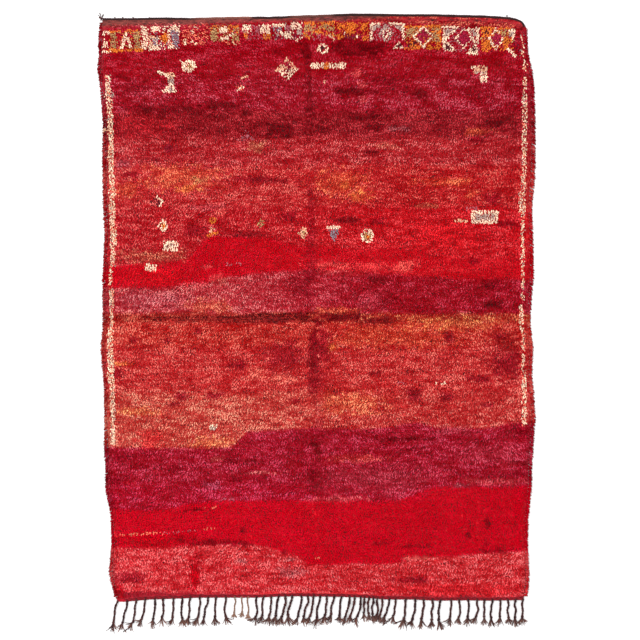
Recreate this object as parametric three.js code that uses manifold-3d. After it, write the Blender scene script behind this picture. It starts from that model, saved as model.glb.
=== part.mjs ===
// A hand-knotted wool rug that lies flat: one pile cloth with shaggy sides and flat-woven ends, a plaited
// cord along its upper end, a frayed corner tassel, and a knotted warp fringe along its lower end.
// Millimetres, +Z up. X runs across the rug and Y along it towards the upper end. The underside is at z = 0.
import * as THREE from 'three';
import { ImprovedNoise } from 'three/addons/math/ImprovedNoise.js';
import { mergeVertices } from 'three/addons/utils/BufferGeometryUtils.js';
import Module from 'manifold-3d';

// Driving dimensions
const GAP = 0.3;
const PILE_HEIGHT = 20;
const LUMP_HEIGHT = 3.2;
const TUFT_UNEVENNESS = 3.2;
const WOVEN_THICKNESS = 5;
const RIM_HEIGHT = 11;
const SHOULDER_HEIGHT = 16;
const SHOULDER_RUN = 13;
const HEM_DEPTH = 18;
const LOCK_ROWS = 104;
const LOCK_SHARE = 0.78;
const LOCK_REACH = { least: 4, most: 13 };
const LOCK_DROOP = { least: 2, most: 9 };
const LOCK_TIP_HEIGHT = { least: 3, most: 7 };
const FOLD_HALF_WIDTH = 18;
const CORD_RADIUS = 3.9;
const CORD_RELIEF = 0.16;
const CORD_SIDES = 6;
const CORD_LAY = 34;
const CORD_STEP = 21;
const CORD_END_ROW = 2;
const STRIP_WIDTH = 13;
const STRIP_THICKNESS = 5;
const STRAND_WIDTH = 9;
const STRAND_HEIGHT = 6.5;
const STRAND_SIDES = 4;
const KNOT_WIDTH = 13;
const KNOT_HEIGHT = 9;
const BRUSH_WIDTH = 22;
const BRUSH_TIP = { wide: 0.6, high: 0.7 };
const STRAND_ROOM = 0.8;
const STRAND_BEND = 1.2;
const STRAND_SWAY = 0.3;
const TIP_SCATTER = 0.25;
const REACH_SCATTER = 0.1;
const TASSEL_HEAD = { across: -958, along: 1348.5, wide: 7, long: 5.5, high: 5.5, centre: 4.4 };
const TASSEL_END_SHARES = [0.12, 0.6, 1];
const TASSEL_END_FLATNESS = 0.7;

// The side edges from the upper end down: a place along the rug, and where the left and right rims are there.
const SIDE_RIMS = [
  { along: 1346, left: -953, right: 897 },
  { along: 1330, left: -954, right: 911 },
  { along: 1315, left: -954, right: 920 },
  { along: 1296, left: -957, right: 927 },
  { along: 1240, left: -962, right: 929 },
  { along: 1185, left: -959, right: 936 },
  { along: 1128, left: -968, right: 951 },
  { along: 1035, left: -956, right: 960 },
  { along: 875, left: -942, right: 963 },
  { along: 690, left: -939, right: 961 },
  { along: 505, left: -937, right: 948 },
  { along: 380, left: -932, right: 954 },
  { along: 190, left: -946, right: 955 },
  { along: 5, left: -945, right: 942 },
  { along: -120, left: -955, right: 955 },
  { along: -240, left: -946, right: 948 },
  { along: -430, left: -938, right: 963 },
  { along: -615, left: -930, right: 948 },
  { along: -740, left: -936, right: 946 },
  { along: -865, left: -911, right: 934 },
  { along: -990, left: -902, right: 933 },
  { along: -1115, left: -915, right: 935 },
  { along: -1180, left: -900, right: 933 },
  { along: -1245, left: -889, right: 925 },
];

// The upper end from left to right: where the cloth stops, and how deep its flat-woven band is.
const UPPER_END = [
  { across: -953, along: 1342, band: 42 },
  { across: -830, along: 1341, band: 40 },
  { across: -674, along: 1345, band: 36 },
  { across: -563, along: 1342, band: 31 },
  { across: -452, along: 1346, band: 28 },
  { across: -318, along: 1349, band: 20 },
  { across: -185, along: 1347, band: 18 },
  { across: -82, along: 1352, band: 16 },
  { across: 60, along: 1358, band: 18 },
  { across: 185, along: 1362, band: 20 },
  { across: 372, along: 1359, band: 14 },
  { across: 532, along: 1359, band: 11 },
  { across: 661, along: 1355, band: 9 },
  { across: 794, along: 1352, band: 9 },
  { across: 868, along: 1346, band: 9 },
  { across: 896, along: 1340, band: 9 },
  { across: 912, along: 1330, band: 9 },
];

// The lower end from left to right: the outer edge of the strip that holds the fringe.
const LOWER_END = [
  { across: -892, along: -1248 },
  { across: -817, along: -1239 },
  { across: -705, along: -1236 },
  { across: -585, along: -1230 },
  { across: -296, along: -1230 },
  { across: -140, along: -1223 },
  { across: 149, along: -1228 },
  { across: 283, along: -1239 },
  { across: 372, along: -1237 },
  { across: 483, along: -1244 },
  { across: 639, along: -1242 },
  { across: 817, along: -1244 },
  { across: 928, along: -1239 },
];

// The lumps of the pile: how long a lump is each way, how much it counts, and where its noise is read.
const LUMPS = [
  { across: 150, along: 62, share: 0.65, slice: 3.7 },
  { across: 64, along: 34, share: 0.6, slice: 9.2 },
];

// The lengthwise fold that the pile still shows, from the upper end down.
const FOLD_LINE = [
  { along: 1340, across: -31, depth: 1 },
  { along: 1250, across: -33, depth: 4 },
  { along: 900, across: -33, depth: 5.5 },
  { along: 800, across: -31, depth: 2 },
  { along: 600, across: -29, depth: 4 },
  { along: 470, across: -26, depth: 2 },
  { along: 230, across: -16, depth: 4 },
  { along: 50, across: -7, depth: 5 },
  { along: -300, across: 5, depth: 6 },
  { along: -800, across: 7, depth: 4.5 },
  { along: -1000, across: 8, depth: 2 },
  { along: -1230, across: 8, depth: 0.5 },
];

// Soft creases that run across the rug.
const CROSS_CREASES = [
  { from: -785, to: -30, along: 14, halfWidth: 15, depth: 4.5 },
  { from: -30, to: 372, along: 6, halfWidth: 13, depth: 3 },
];

// Where the columns of points lie between a rim (0) and the fold (1), closer where the pile rounds over.
const COLUMN_SHARES = [0, 0.015, 0.045, 0.16, 0.29, 0.42, 0.55, 0.68, 0.8, 0.9, 0.955, 0.983, 1];

// The fringe in runs from left to right: where the first and last strand of a run leave the strip, how many
// strands it has, how far they lean to the right, how far they reach, and how thick they are.
const FRINGE_RUNS = [
  { first: -883, last: -762, strands: 4, lean: -29, reach: 130, stout: 1 },
  { first: -720, last: -598, strands: 4, lean: -4, reach: 120, stout: 1 },
  { first: -561, last: -481, strands: 3, lean: -20, reach: 128, stout: 1 },
  { first: -445, last: -404, strands: 2, lean: -7, reach: 118, stout: 1 },
  { first: -364, last: -303, strands: 3, lean: 1, reach: 96, stout: 0.7 },
  { first: -265, last: -198, strands: 3, lean: -13, reach: 119, stout: 1 },
  { first: -167, last: -110, strands: 3, lean: -22, reach: 124, stout: 1.1 },
  { first: -69, last: 18, strands: 4, lean: -24, reach: 128, stout: 1.05 },
  { first: 48, last: 113, strands: 3, lean: -20, reach: 112, stout: 1.05 },
  { first: 147, last: 197, strands: 3, lean: -22, reach: 122, stout: 1 },
  { first: 216, last: 292, strands: 5, lean: -8, reach: 98, stout: 0.95 },
  { first: 328, last: 355, strands: 2, lean: -26, reach: 104, stout: 1 },
  { first: 400, last: 555, strands: 5, lean: -13, reach: 121, stout: 1.1 },
  { first: 600, last: 674, strands: 3, lean: 0, reach: 110, stout: 1 },
  { first: 714, last: 921, strands: 7, lean: -5, reach: 106, stout: 1 },
];

// One strand from its root to its tip: the share of its reach, its width and height as shares of full size,
// and which of the three full sizes it has there.
const STRAND_SECTIONS = [
  { share: 0, wide: 1, high: 1, part: 'stem' },
  { share: 0.34, wide: 0.86, high: 1, part: 'stem' },
  { share: 0.66, wide: 0.9, high: 1, part: 'stem' },
  { share: 0.72, wide: 1, high: 1, part: 'knot' },
  { share: 0.78, wide: 1.05, high: 1, part: 'stem' },
  { share: 0.93, wide: 1, high: 1, part: 'brush' },
];

// The loose ends of the corner tassel: how far each reaches from the head, and its width at root and tip.
const TASSEL_ENDS = [
  { across: -9, along: 32, root: 4, tip: 3 },
  { across: 9, along: 22, root: 6, tip: 7 },
  { across: -15, along: 9, root: 6, tip: 8 },
  { across: -15.5, along: 19, root: 3, tip: 3 },
];

const materials = {
  pile: new THREE.MeshStandardMaterial({ color: 0xb01a2e, roughness: 0.95, metalness: 0 }),
  cord: new THREE.MeshStandardMaterial({ color: 0x2e1a15, roughness: 0.9, metalness: 0 }),
  warp: new THREE.MeshStandardMaterial({ color: 0x4a302a, roughness: 0.92, metalness: 0 }),
};

const noise = new ImprovedNoise();
const wasm = await Module();
wasm.setup();

// A steady value from 0 to 1 for a whole number, different for each.
function scatter(index, salt) {
  const turned = Math.sin(index * 127.1 + salt * 311.7) * 43758.5453;
  return turned - Math.floor(turned);
}

function between(range, share) {
  return THREE.MathUtils.lerp(range.least, range.most, share);
}

// A column of a table read at any place along its key column, straight between two rows.
function reading(table, key, place, column) {
  const rising = table[0][key] < table.at(-1)[key] ? 1 : -1;
  const next = table.findIndex((row) => (row[key] - place) * rising >= 0);
  if (next === 0) return table[0][column];
  if (next < 0) return table.at(-1)[column];
  const before = table[next - 1];
  const share = (place - before[key]) / (table[next][key] - before[key]);
  return THREE.MathUtils.lerp(before[column], table[next][column], share);
}

// A closed surface put together point by point, with each triangle's corners anticlockwise from outside.
class Surface {
  places = [];
  corners = [];

  point(x, y, z) {
    this.places.push(x, y, z);
    return this.places.length / 3 - 1;
  }

  triangle(a, b, c) {
    this.corners.push(a, b, c);
  }

  quad(a, b, c, d) {
    this.triangle(a, b, c);
    this.triangle(a, c, d);
  }

  geometry() {
    const made = new THREE.BufferGeometry();
    made.setAttribute('position', new THREE.Float32BufferAttribute(this.places, 3));
    made.setIndex(this.corners);
    made.computeVertexNormals();
    return made;
  }
}

// The height of the pile over a place on the rug, with its lumps, uneven tufts, fold and creases.
function pileTop(across, along, tuft) {
  const lumps = LUMPS.map((lump) => (
    lump.share * noise.noise(across / lump.across, along / lump.along, lump.slice)
  )).reduce((sum, height) => sum + height);
  const unevenness = TUFT_UNEVENNESS * (scatter(tuft, 4) - 0.5);
  const fromFold = (across - reading(FOLD_LINE, 'along', along, 'across')) / FOLD_HALF_WIDTH;
  const fold = reading(FOLD_LINE, 'along', along, 'depth') * Math.exp(-fromFold * fromFold);
  const creases = CROSS_CREASES.map((crease) => {
    const off = (along - crease.along) / crease.halfWidth;
    const within = across > crease.from && across < crease.to;
    return within ? crease.depth * Math.exp(-off * off) : 0;
  });
  return PILE_HEIGHT + LUMP_HEIGHT * lumps + unevenness - fold - Math.max(...creases);
}

// A place across the rug, from -1 at the left rim through 0 on the fold to 1 at the right rim.
function placeAcross(side, along) {
  const rim = reading(SIDE_RIMS, 'along', along, side < 0 ? 'left' : 'right');
  const fold = reading(FOLD_LINE, 'along', along, 'across');
  return THREE.MathUtils.lerp(fold, rim, Math.abs(side));
}

// The rows of the cloth from its upper edge to its lower one, at one place across: each row's place along the
// rug and its height. Both ends are flat-woven, and the pile stands up from a foot over a short shoulder.
function rowsDown(across) {
  const upper = reading(UPPER_END, 'across', across, 'along');
  const foot = upper - reading(UPPER_END, 'across', across, 'band');
  const lower = reading(LOWER_END, 'across', across, 'along') + STRIP_WIDTH + GAP;
  const hem = lower + HEM_DEPTH;
  const first = foot - SHOULDER_RUN;
  const last = hem + SHOULDER_RUN;
  const rows = [
    { along: upper, kind: 'woven' },
    { along: foot, kind: 'woven' },
  ];
  for (let row = 0; row <= LOCK_ROWS; row += 1) {
    rows.push({ along: THREE.MathUtils.lerp(first, last, row / LOCK_ROWS), kind: 'pile' });
  }
  rows.push({ along: hem, kind: 'woven' }, { along: lower, kind: 'woven' });
  return rows;
}

const sides = [
  ...COLUMN_SHARES.map((share) => share - 1),
  ...COLUMN_SHARES.slice(0, -1).reverse().map((share) => 1 - share),
];
const FIRST_LOCK_ROW = 2;
const LAST_LOCK_ROW = FIRST_LOCK_ROW + LOCK_ROWS;

// How high the cloth is in one row and column.
function clothHeight(kind, across, along, row, column) {
  if (kind === 'woven') return WOVEN_THICKNESS;
  const fromRim = 1 - Math.abs(sides[column]);
  const top = pileTop(across, along, row * sides.length + column);
  const outermost = row === FIRST_LOCK_ROW || row === LAST_LOCK_ROW;
  const full = outermost ? Math.min(top, SHOULDER_HEIGHT) : top;
  if (fromRim === 0) return RIM_HEIGHT;
  return fromRim < COLUMN_SHARES[2] ? Math.min(full, SHOULDER_HEIGHT) : full;
}

// Every point of the cloth's upper face, row by row from the upper end and column by column from the left.
function clothPoints() {
  const columns = sides.map((side, column) => {
    const nominal = placeAcross(side, side > 0 ? UPPER_END.at(-1).along : 0);
    return rowsDown(nominal).map(({ along, kind }, row) => {
      const across = placeAcross(side, along);
      const height = clothHeight(kind, across, along, row, column);
      return new THREE.Vector3(across, along, height);
    });
  });
  return columns[0].map((_, row) => columns.map((column) => column[row]));
}

// One side of the cloth from the upper end down, as stops on its rim: each stop's place, the row of the face
// that it joins, and the tip of the lock that starts there. A lock takes most of the rim between two rows.
function rimStops(rows, column, out) {
  const stops = [];
  const spare = (1 - LOCK_SHARE) / 2;
  const salt = out < 0 ? 11 : 12;
  rows.forEach((points, row) => {
    const place = points[column];
    if (row < FIRST_LOCK_ROW || row > LAST_LOCK_ROW) stops.push({ place, row });
    if (row < FIRST_LOCK_ROW || row >= LAST_LOCK_ROW) return;
    const below = rows[row + 1][column];
    const tip = place.clone().lerp(below, 0.5);
    tip.x += out * between(LOCK_REACH, scatter(row, salt));
    tip.y -= between(LOCK_DROOP, scatter(row, salt + 2));
    tip.z = between(LOCK_TIP_HEIGHT, scatter(row, salt + 4));
    stops.push({ place: place.clone().lerp(below, spare), row, tip });
    stops.push({ place: place.clone().lerp(below, 1 - spare), row: row + 1 });
  });
  return stops;
}

// The wall of one rim with its locks, and the strip of face beside it. It gives back the wall's top and foot.
function addRim(cloth, faces, stops, inner, out) {
  const triangle = (a, b, c) => (out < 0 ? cloth.triangle(a, b, c) : cloth.triangle(a, c, b));
  const crest = stops.map(({ place }) => cloth.point(place.x, place.y, place.z));
  const foot = stops.map(({ place }) => cloth.point(place.x, place.y, 0));
  stops.slice(0, -1).forEach((stop, index) => {
    const next = stops[index + 1];
    triangle(faces[stop.row][inner], crest[index], crest[index + 1]);
    if (next.row > stop.row) {
      triangle(faces[stop.row][inner], crest[index + 1], faces[next.row][inner]);
    }
    const round = [crest[index], foot[index], foot[index + 1], crest[index + 1]];
    if (stop.tip) {
      const tip = cloth.point(stop.tip.x, stop.tip.y, stop.tip.z);
      round.forEach((corner, side) => triangle(tip, corner, round[(side + 1) % round.length]));
    } else {
      triangle(round[0], round[1], round[2]);
      triangle(round[0], round[2], round[3]);
    }
  });
  return { crest, foot };
}

// The cut edge at one end of the cloth. It gives back the edge's foot from left to right.
function addEnd(cloth, places, face, left, right, upper) {
  const at = upper ? 0 : -1;
  const crest = [left.crest.at(at), ...face.slice(1, -1), right.crest.at(at)];
  const within = places.slice(1, -1).map((place) => cloth.point(place.x, place.y, 0));
  const foot = [left.foot.at(at), ...within, right.foot.at(at)];
  for (let column = 0; column < crest.length - 1; column += 1) {
    const round = [crest[column], crest[column + 1], foot[column + 1], foot[column]];
    cloth.quad(...(upper ? round : round.reverse()));
  }
  return foot;
}

// The flat underside, as a fan from its middle to each stretch of its outline.
function addUnderside(cloth, outline) {
  const middle = cloth.point(0, 0, 0);
  outline.forEach((corner, index) => {
    cloth.triangle(middle, corner, outline[(index + 1) % outline.length]);
  });
}

// The cloth: its upper face, both rims with their locks, both cut ends, and the flat underside.
function makeCloth(rows) {
  const cloth = new Surface();
  const last = sides.length - 1;
  const faces = rows.map((row) => row.map((place, column) => (
    column === 0 || column === last ? null : cloth.point(place.x, place.y, place.z)
  )));
  for (let row = 0; row < rows.length - 1; row += 1) {
    for (let column = 1; column < last - 1; column += 1) {
      const upper = faces[row];
      const lower = faces[row + 1];
      cloth.quad(upper[column], lower[column], lower[column + 1], upper[column + 1]);
    }
  }
  const left = addRim(cloth, faces, rimStops(rows, 0, -1), 1, -1);
  const right = addRim(cloth, faces, rimStops(rows, last, 1), last - 1, 1);
  const upperFoot = addEnd(cloth, rows[0], faces[0], left, right, true);
  const lowerFoot = addEnd(cloth, rows.at(-1), faces.at(-1), left, right, false);
  addUnderside(cloth, [
    ...upperFoot,
    ...right.foot.slice(1),
    ...lowerFoot.slice(0, -1).reverse(),
    ...left.foot.slice(1, -1).reverse(),
  ]);
  return cloth.geometry();
}

// A closed body swept through stations, each with a place, a width and a height, and cut square at both ends.
// It rests on the floor, and relief raises or lowers its skin at a station and an angle round it.
function swept(stations, sideCount, relief = () => 1) {
  const rings = [stations[0], ...stations, stations.at(-1)];
  const profile = rings.map((_, ring) => new THREE.Vector2(ring % (rings.length - 1) ? 1 : 0, ring));
  const body = new THREE.LatheGeometry(profile, sideCount);
  const position = body.getAttribute('position');
  const squareness = 1 / Math.cos(Math.PI / sideCount);
  const up = new THREE.Vector3(0, 0, 1);
  for (let index = 0; index < position.count; index += 1) {
    const ring = index % rings.length;
    const station = rings[ring];
    const before = rings[Math.max(1, ring - 1)].at;
    const after = rings[Math.min(rings.length - 2, ring + 1)].at;
    const aside = after.clone().sub(before).cross(up).normalize();
    const side = Math.floor(index / rings.length) % sideCount;
    const angle = ((side + 0.5) * 2 * Math.PI) / sideCount;
    const radius = profile[ring].x * squareness * relief(station, angle);
    const place = station.at.clone().addScaledVector(aside, (radius * Math.sin(angle) * station.wide) / 2);
    const height = (station.high / 2) * (1 + radius * Math.cos(angle));
    position.setXYZ(index, place.x, place.y, Math.max(0, height));
  }
  body.computeVertexNormals();
  return body;
}

// A mesh as a solid that can be joined to others, and a joined solid as a mesh again.
function solidOf(geometry) {
  const bare = geometry.clone();
  bare.deleteAttribute('normal');
  bare.deleteAttribute('uv');
  const merged = mergeVertices(bare, 1e-3);
  return new wasm.Manifold(new wasm.Mesh({
    numProp: 3,
    vertProperties: merged.getAttribute('position').array,
    triVerts: new Uint32Array(merged.getIndex().array),
  }));
}

function geometryOf(solid) {
  const mesh = solid.getMesh();
  const made = new THREE.BufferGeometry();
  made.setAttribute('position', new THREE.BufferAttribute(mesh.vertProperties, mesh.numProp));
  made.setIndex(new THREE.BufferAttribute(mesh.triVerts, 1));
  made.computeVertexNormals();
  return made;
}

function joined(geometries) {
  return geometryOf(geometries.map(solidOf).reduce((whole, piece) => whole.add(piece)));
}

// A flat line moved to the left of the way it runs by a distance, with its stretches kept parallel.
function besideLine(line, distance) {
  const ways = line.slice(0, -1).map((place, index) => line[index + 1].clone().sub(place).normalize());
  return line.map((place, index) => {
    const arriving = ways[Math.max(0, index - 1)];
    const leaving = ways[Math.min(ways.length - 1, index)];
    const mean = arriving.clone().add(leaving).normalize();
    const left = new THREE.Vector3(-mean.y, mean.x, 0);
    return place.clone().addScaledVector(left, distance / mean.dot(arriving));
  });
}

// A line with each of its stretches cut into equal steps no longer than a length.
function stepped(line, length) {
  const steps = [];
  line.slice(0, -1).forEach((place, index) => {
    const next = line[index + 1];
    const count = Math.ceil(place.distanceTo(next) / length);
    for (let step = 0; step < count; step += 1) steps.push(place.clone().lerp(next, step / count));
  });
  return [...steps, line.at(-1).clone()];
}

// The plaited cord: along the upper end, round the right-hand corner and a little way down the side.
function makeCord(rows) {
  const edge = [...rows[0], ...rows.slice(1, CORD_END_ROW + 1).map((row) => row.at(-1))];
  const clear = CORD_RADIUS * (1 + CORD_RELIEF) + GAP;
  const line = besideLine(edge.map((place) => place.clone().setZ(0)), clear);
  const head = TASSEL_HEAD.across + TASSEL_HEAD.wide + GAP;
  line[0].setX(Math.max(line[0].x, head));
  let run = 0;
  const stations = stepped(line, CORD_STEP).map((at, index, all) => {
    if (index > 0) run += at.distanceTo(all[index - 1]);
    return { at, wide: 2 * CORD_RADIUS, high: 2 * CORD_RADIUS, run };
  });
  const plait = ({ run: along }, angle) => (
    1 + CORD_RELIEF * Math.cos(2 * angle - (2 * Math.PI * along) / CORD_LAY)
  ) * Math.cos(Math.PI / CORD_SIDES);
  return swept(stations, CORD_SIDES, plait);
}

// The corner tassel: a flattened knot with loose ends that lie level on the floor.
function makeTassel() {
  const { across, along, wide, long, high, centre } = TASSEL_HEAD;
  const head = new THREE.SphereGeometry(1, 10, 6);
  head.rotateX(Math.PI / 2);
  head.scale(wide, long, high);
  head.translate(across, along, centre);
  const position = head.getAttribute('position');
  for (let index = 0; index < position.count; index += 1) {
    position.setZ(index, Math.max(0, position.getZ(index)));
  }
  const ends = TASSEL_ENDS.map((end) => {
    const stations = TASSEL_END_SHARES.map((share) => ({
      at: new THREE.Vector3(across + end.across * share, along + end.along * share, 0),
      wide: THREE.MathUtils.lerp(end.root, end.tip, share),
      high: THREE.MathUtils.lerp(end.root, end.tip * TASSEL_END_FLATNESS, share),
    }));
    return swept(stations, STRAND_SIDES);
  });
  return joined([head, ...ends]);
}

// Every strand of the fringe: the places of its root and tip, its sway and reach, and its thickness.
function fringeStrands() {
  let number = 0;
  return FRINGE_RUNS.flatMap((run) => {
    const pitch = (run.last - run.first) / (run.strands - 1);
    return Array.from({ length: run.strands }, (_, index) => {
      number += 1;
      const root = run.first + pitch * index;
      return {
        root,
        tip: root + run.lean + TIP_SCATTER * pitch * (scatter(number, 22) - 0.5),
        sway: STRAND_SWAY * pitch * (scatter(number, 23) - 0.5),
        reach: run.reach * (1 + REACH_SCATTER * (scatter(number, 21) - 0.5)),
        stout: run.stout,
      };
    });
  });
}

// One strand: a stem from inside the strip, a knot, and a brush that spreads no wider than its room.
function makeStrand(strand, room) {
  const edge = reading(LOWER_END, 'across', strand.root, 'along');
  const sizes = {
    stem: { wide: STRAND_WIDTH * strand.stout, high: STRAND_HEIGHT },
    knot: { wide: KNOT_WIDTH * strand.stout, high: KNOT_HEIGHT },
    brush: { wide: BRUSH_WIDTH * strand.stout, high: STRAND_HEIGHT },
  };
  const stations = STRAND_SECTIONS.map(({ share, part, wide, high }) => {
    const drift = (strand.tip - strand.root) * share ** STRAND_BEND;
    const sway = strand.sway * Math.sin(Math.PI * share);
    const down = THREE.MathUtils.lerp(-STRIP_WIDTH / 2, strand.reach, share);
    return {
      at: new THREE.Vector3(strand.root + drift + sway, edge - down, 0),
      wide: Math.min(sizes[part].wide * wide, room),
      high: sizes[part].high * high,
    };
  });
  const brush = stations.at(-1);
  const tip = brush.at.clone().setY(edge - strand.reach);
  stations.push({ at: tip, wide: brush.wide * BRUSH_TIP.wide, high: brush.high * BRUSH_TIP.high });
  return swept(stations, STRAND_SIDES);
}

// The fringe: the last strip of weave, parted from the cloth's edge, with its strands.
function makeFringe(rows) {
  const edge = rows.at(-1).map((place) => place.clone().setZ(0));
  const middle = besideLine(edge, -(STRIP_WIDTH / 2 + GAP));
  const stations = middle.map((at) => ({ at, wide: STRIP_WIDTH, high: STRIP_THICKNESS }));
  const strip = swept(stations, STRAND_SIDES);
  const strands = fringeStrands();
  const pieces = strands.map((strand, index) => {
    const neighbours = [strands[index - 1], strands[index + 1]].filter(Boolean);
    const nearest = neighbours.map((other) => Math.min(
      Math.abs(other.root - strand.root),
      Math.abs(other.tip - strand.tip),
    ));
    return makeStrand(strand, STRAND_ROOM * Math.min(...nearest));
  });
  return joined([strip, ...pieces]);
}

function named(name, geometry, material) {
  const mesh = new THREE.Mesh(geometry, material.clone());
  mesh.name = name;
  return mesh;
}

const clothRows = clothPoints();
const pieces = new THREE.Group();
pieces.add(
  named('rug_body', makeCloth(clothRows), materials.pile),
  named('top_cord', makeCord(clothRows), materials.cord),
  named('corner_tassel', makeTassel(), materials.cord),
  named('fringe', makeFringe(clothRows), materials.warp),
);

// The origin is under the middle of the whole rug.
const reach = new THREE.Box3().setFromObject(pieces);
const middle = reach.getCenter(new THREE.Vector3());
pieces.position.set(-middle.x, -middle.y, -reach.min.z);

const rug = new THREE.Group();
rug.add(pieces);

export default rug;
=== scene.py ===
"""The looks of a knotted wool rug: shaggy pile in red bands, an edge plait, a corner tassel and a fringe."""
import logging
import math
from dataclasses import dataclass
from enum import Enum
from typing import Any, Sequence

import bpy
import numpy as np
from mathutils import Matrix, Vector
from mathutils.bvhtree import BVHTree


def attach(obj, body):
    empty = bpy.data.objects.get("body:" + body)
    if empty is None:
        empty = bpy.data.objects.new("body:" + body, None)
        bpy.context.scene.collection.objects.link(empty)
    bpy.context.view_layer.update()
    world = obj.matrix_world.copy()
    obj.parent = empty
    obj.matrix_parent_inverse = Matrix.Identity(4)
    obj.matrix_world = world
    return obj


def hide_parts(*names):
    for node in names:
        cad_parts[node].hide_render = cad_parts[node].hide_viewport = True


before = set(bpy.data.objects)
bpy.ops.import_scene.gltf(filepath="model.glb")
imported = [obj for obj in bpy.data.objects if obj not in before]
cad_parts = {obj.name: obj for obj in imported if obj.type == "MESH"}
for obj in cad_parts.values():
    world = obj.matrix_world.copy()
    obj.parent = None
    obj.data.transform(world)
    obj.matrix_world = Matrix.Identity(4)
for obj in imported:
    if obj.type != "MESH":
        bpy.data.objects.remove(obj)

LOG = logging.getLogger("rug")
MM = 0.001
SEED = 4017

# The chart of the rug is ruled in squares, counted from its upper left corner to the right and down.
CHART_SQUARE = 0.00445
CHART_MIDDLE = (316.16, 321.5)

# Yarn in the pile is seen darker than it is dyed, because the locks shade each other.
PILE_GAIN = (0.885, 3.3, 3.75)
# Painted shade: the ground between the locks takes the pile's dye, this much darker.
BED_PAINTED_SHADE = 0.72
PILE_DEPTH = (1.0, 1.45, 1.45)
FIGURE_GAIN = (0.95, 0.88, 0.90)
GROUND_GAIN = (0.34, 0.26, 0.26)
LIGHTEST_DYE = 0.92

# The curve between display colours and light: its straight foot, and the power above the knee.
FOOT_SLOPE = 12.92
KNEE = 0.04045
OFFSET = 0.055
POWER = 2.4
# What the solids' own scattered numbers are made from.
SCATTER = (127.1, 311.7, 43758.5453)

# The attributes that a piece's points carry; those of the scaffold go once the piece is grown.
YARN = "yarn"
ALONG = "along"
HEADING = "heading"
MEASURE = "measure"
VARIANT = "variant"
STOUTNESS = "stoutness"
SCAFFOLD = (HEADING, MEASURE, VARIANT, STOUTNESS)
LOCK_ATTRIBUTES = (
    (HEADING, "FLOAT_VECTOR"), (MEASURE, "FLOAT_VECTOR"), (VARIANT, "INT"), (YARN, "FLOAT_COLOR"),
)

Array = np.ndarray
Material = bpy.types.Material
Piece = bpy.types.Object
Socket = bpy.types.NodeSocket
RGB = tuple[float, float, float]
Pair = tuple[float, float]
Points = Sequence[Pair]
EVEN = (1.0, 1.0, 1.0)


def linear(colour: Any, gain: RGB = EVEN, depth: RGB = EVEN) -> Array:
    """Turns display colours into linear dyes.

    Args:
        colour: red, green and blue from 0 to 255, along the last axis.
        gain: how much each channel is raised to make up for shade.
        depth: the power of each channel, above 1 where its low values are seen too strong.

    Returns:
        Linear red, green and blue, no lighter than LIGHTEST_DYE.
    """
    share = np.clip(np.asarray(colour, dtype=float) / 255.0, 0.0, 1.0)
    high = ((share + OFFSET) / (1.0 + OFFSET)) ** POWER
    dye = np.where(share <= KNEE, share / FOOT_SLOPE, high) ** np.asarray(depth) * np.asarray(gain)
    return dye / np.maximum(dye.max(axis=-1, keepdims=True) / LIGHTEST_DYE, 1.0)


def smooth(value: Array | float) -> Array:
    """Eases a number from 0 to 1, flat at both ends."""
    share = np.clip(value, 0.0, 1.0)
    return share * share * (3.0 - 2.0 * share)


def mix(first: Any, second: Any, share: Any) -> Any:
    """The blend of two values: the first at 0 and the second at 1."""
    return first + (second - first) * share


def scatter(index: Any, salt: float) -> Any:
    """A fixed number from 0 to 1 for each index, the same one that the solids use."""
    wave = np.sin(index * SCATTER[0] + salt * SCATTER[1]) * SCATTER[2]
    return wave - np.floor(wave)


class SmoothNoise:
    """Seeded noise over the plane, from a lattice of random numbers with eased steps between them."""

    LATTICE = 256
    SHIFT = (61.7, 83.1)

    def __init__(self, seed: int) -> None:
        """Fills the lattice from a fixed start of the random numbers."""
        self.lattice = np.random.default_rng(seed).random((self.LATTICE, self.LATTICE))

    def at(self, across: Array, along: Array, wide: float, high: float) -> Array:
        """Reads the noise.

        Args:
            across: places across the rug.
            along: places along the rug.
            wide: the size of a patch of noise across, in the same unit.
            high: the size of a patch of noise along.

        Returns:
            Numbers from 0 to 1.
        """
        column, row = across / wide + self.SHIFT[0], along / high + self.SHIFT[1]
        left, low = np.floor(column).astype(int), np.floor(row).astype(int)
        lines = []
        for line in (low, low + 1):
            ends = [self.lattice[end % self.LATTICE, line % self.LATTICE] for end in (left, left + 1)]
            lines.append(mix(*ends, smooth(column - left)))
        return mix(*lines, smooth(row - low))


@dataclass
class NodeValue:
    """A number that travels through a node tree, so that sums on it are written as plain expressions."""

    tree: "NodeTree"
    socket: Socket

    def math(self, operation: str, *values: "NodeValue | float") -> "NodeValue":
        """The result of a Math node with this operation and these inputs in order."""
        return self.tree.node("ShaderNodeMath", {"operation": operation}, dict(enumerate(values))).value()

    def __add__(self, other: "NodeValue | float") -> "NodeValue":
        """This plus other."""
        return self.math("ADD", self, other)

    def __radd__(self, other: float) -> "NodeValue":
        """Other plus this."""
        return self.math("ADD", other, self)

    def __sub__(self, other: "NodeValue | float") -> "NodeValue":
        """This less other."""
        return self.math("SUBTRACT", self, other)

    def __rsub__(self, other: float) -> "NodeValue":
        """Other less this."""
        return self.math("SUBTRACT", other, self)

    def __mul__(self, other: "NodeValue | float") -> "NodeValue":
        """This times other."""
        return self.math("MULTIPLY", self, other)

    def __rmul__(self, other: float) -> "NodeValue":
        """Other times this."""
        return self.math("MULTIPLY", other, self)

    def __pow__(self, other: "NodeValue | float") -> "NodeValue":
        """This to the power other."""
        return self.math("POWER", self, other)

    def sine(self) -> "NodeValue":
        """The sine of this."""
        return self.math("SINE", self)


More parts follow.
